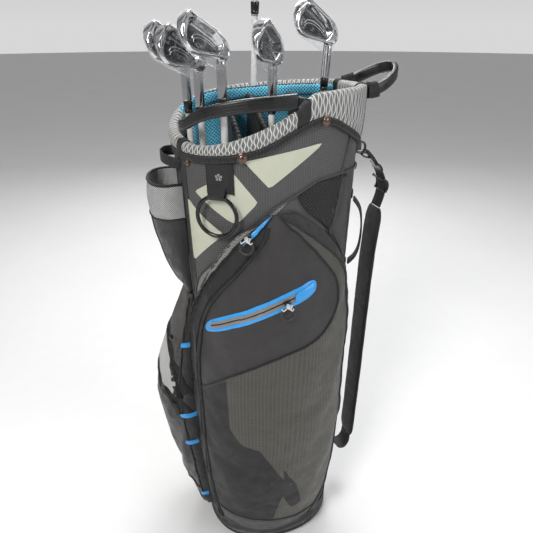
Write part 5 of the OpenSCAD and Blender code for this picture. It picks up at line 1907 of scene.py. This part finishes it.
def shrink_wrap(k, club, blade, neck, rows):
    """Clear film stretched over the blade and the hosel's end, creased and drawn into the pocket."""
    ring = turns(12)
    sleeve = [moved(neck, np.stack([r * np.cos(ring), r * np.sin(ring), 0 * ring + z], -1))
              for z, r in ((HOSEL_L - 11, 6.8), (HOSEL_L - 8, 8.2))]
    hull = bmesh.new()
    for p in np.concatenate([rows[2:].reshape(-1, 3)[::2], *sleeve]):
        hull.verts.new(Vector(p) * MM)
    bmesh.ops.convex_hull(hull, input=hull.verts)
    bmesh.ops.delete(hull, geom=[v for v in hull.verts if not v.link_faces], context="VERTS")
    mesh = bpy.data.meshes.new(f"{club}_wrap")
    hull.to_mesh(mesh)
    hull.free()
    piece = bpy.data.objects.new(f"{club}_wrap", mesh)
    scene.collection.objects.link(piece)
    mesh = fused(piece, 1.7, 4)
    points, local = read(mesh), blade.inverted()
    flat = np.array([tuple(local @ Vector(p / MM)) for p in points])
    fold = 1 - np.abs(ripple(flat * np.array((0.35, 1.0, 1.0)), 9, k * 2.3)) * 2
    span_in = np.exp(-((flat[:, 0] - 40) / 24) ** 2 - (flat[:, 1] / 11) ** 2) * (flat[:, 2] < -3)
    lift = 1.5 + 0.55 * fold + 0.5 * ripple(flat, 21, k * 1.1) - 2.2 * span_in
    points = points + read(mesh, "normal") * (lift * MM)[:, None]
    mesh.vertices.foreach_set("co", points.ravel())
    mesh.update()
    for p in mesh.polygons:
        p.use_smooth = True
    mesh.materials.clear()
    mesh.materials.append(M_FILM)
    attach(piece, club)


def wood_part(normal, place):
    """Material number: 2 round the neck, 1 on the face, 3 on the sole, 0 on the crown."""
    if math.hypot(place.x, place.y) < 9.5 and place.z < 38:
        return 2
    return 1 if normal.y < -0.9 and place.x > 6 else 3 if normal.z > 0.72 else 0


def wood(k):
    """Fairway wood: the CAD's head, cast smooth."""
    m, length = club_frame(k)
    base = m @ Matrix.Translation((0, 0, length)) @ rotation(CLUBS[k][2], "Z")
    club = f"club{k + 1}"
    piece = bpy.data.objects.new(f"{club}_wood", frame["nodes"][f"{club}_head"].data.copy())
    scene.collection.objects.link(piece)
    mesh = fused(piece, 1.3, 40)
    dress(mesh, base.inverted(), (M_CROWN, M_FACE, M_CHROME, M_SATIN), wood_part, lambda s: (s.x, s.z))
    claim(piece, club)


for k in range(6):
    m, length = club_frame(k)
    who = f"club{k + 1}"
    grip = Build()
    profile = [(0, 10.5), (0.6, 12.4), (1.5, GRIP_R + 0.4), (4.6, GRIP_R + 0.4), (5.4, GRIP_R - 0.2)]
    for i, z in enumerate(np.linspace(8, GRIP_L - 8, 120)):
        r = grip_radius(z)
        groove = 0.45 if i % 3 == 0 and not 46 < i < 58 else 0.0
        profile.append((z, r - groove))
    profile += [(GRIP_L - 4, 9.4), (GRIP_L - 1, 9.4), (GRIP_L, 8.6)]
    revolve(grip, m, profile, 28)
    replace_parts(grip.done(f"{who}_grip_rubber", M_RUBBER, who, "club_grip", angle=50), f"{who}_grip")
    ends = Build()
    for z in (60, 130, 200):
        r = grip_radius(z)
        revolve(ends, m, [(z - 1, r - 0.2), (z - 0.8, r + 0.12), (z + 0.8, r + 0.12), (z + 1, r - 0.2)], 28)
    ends.done(f"{who}_grip_bands", M_RING, who, "club_grip")
    shaft = Build()
    end = length + SHAFT_END - 0.4
    profile = [(z, SHAFT_LOW + (SHAFT_TOP - SHAFT_LOW) * (z - 4) / (length + SHAFT_END - 4))
               for z in np.linspace(4.1, end, 26)]
    revolve(shaft, m, profile, 28)
    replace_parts(shaft.done(f"{who}_shaft_tube", M_WHITE, who, "club_shaft", angle=50), f"{who}_shaft")
    ferrule = Build()
    low = length - FERRULE_L - 0.1
    steps = [(0, 5.6), (0.4, 6.1), (4.0, 6.2), (4.5, 5.9), (5.0, 6.25), (FERRULE_L - 1, HOSEL_R - 0.1),
             (FERRULE_L, HOSEL_R - 0.4)]
    revolve(ferrule, m, [(low + z, r) for z, r in steps], 28)
    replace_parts(ferrule.done(f"{who}_ferrule_sleeve", M_GLOSS, who, "club_ferrule", angle=40),
                f"{who}_ferrule")
    band = Build()
    revolve(band, m, [(low - 2.6, 5.2), (low - 2.4, 5.75), (low - 0.6, 5.85), (low - 0.4, 5.4)], 28)
    band.done(f"{who}_trim_ring", M_TRIM, who, "club_ferrule", angle=40)
    iron(k) if k < 5 else wood(k)

# ---- Floor ----
floor_mesh = Build()
ring = turns(64)
rows = [np.stack([r * np.cos(ring), r * np.sin(ring), 0 * ring], -1) for r in (50, 1500, 6000, 20000)]
floor_mesh.grid(rows, across=True, flip=True)
floor_mesh.cap(rows[0])
floor = floor_mesh.done("floor", floor_paint(), None)
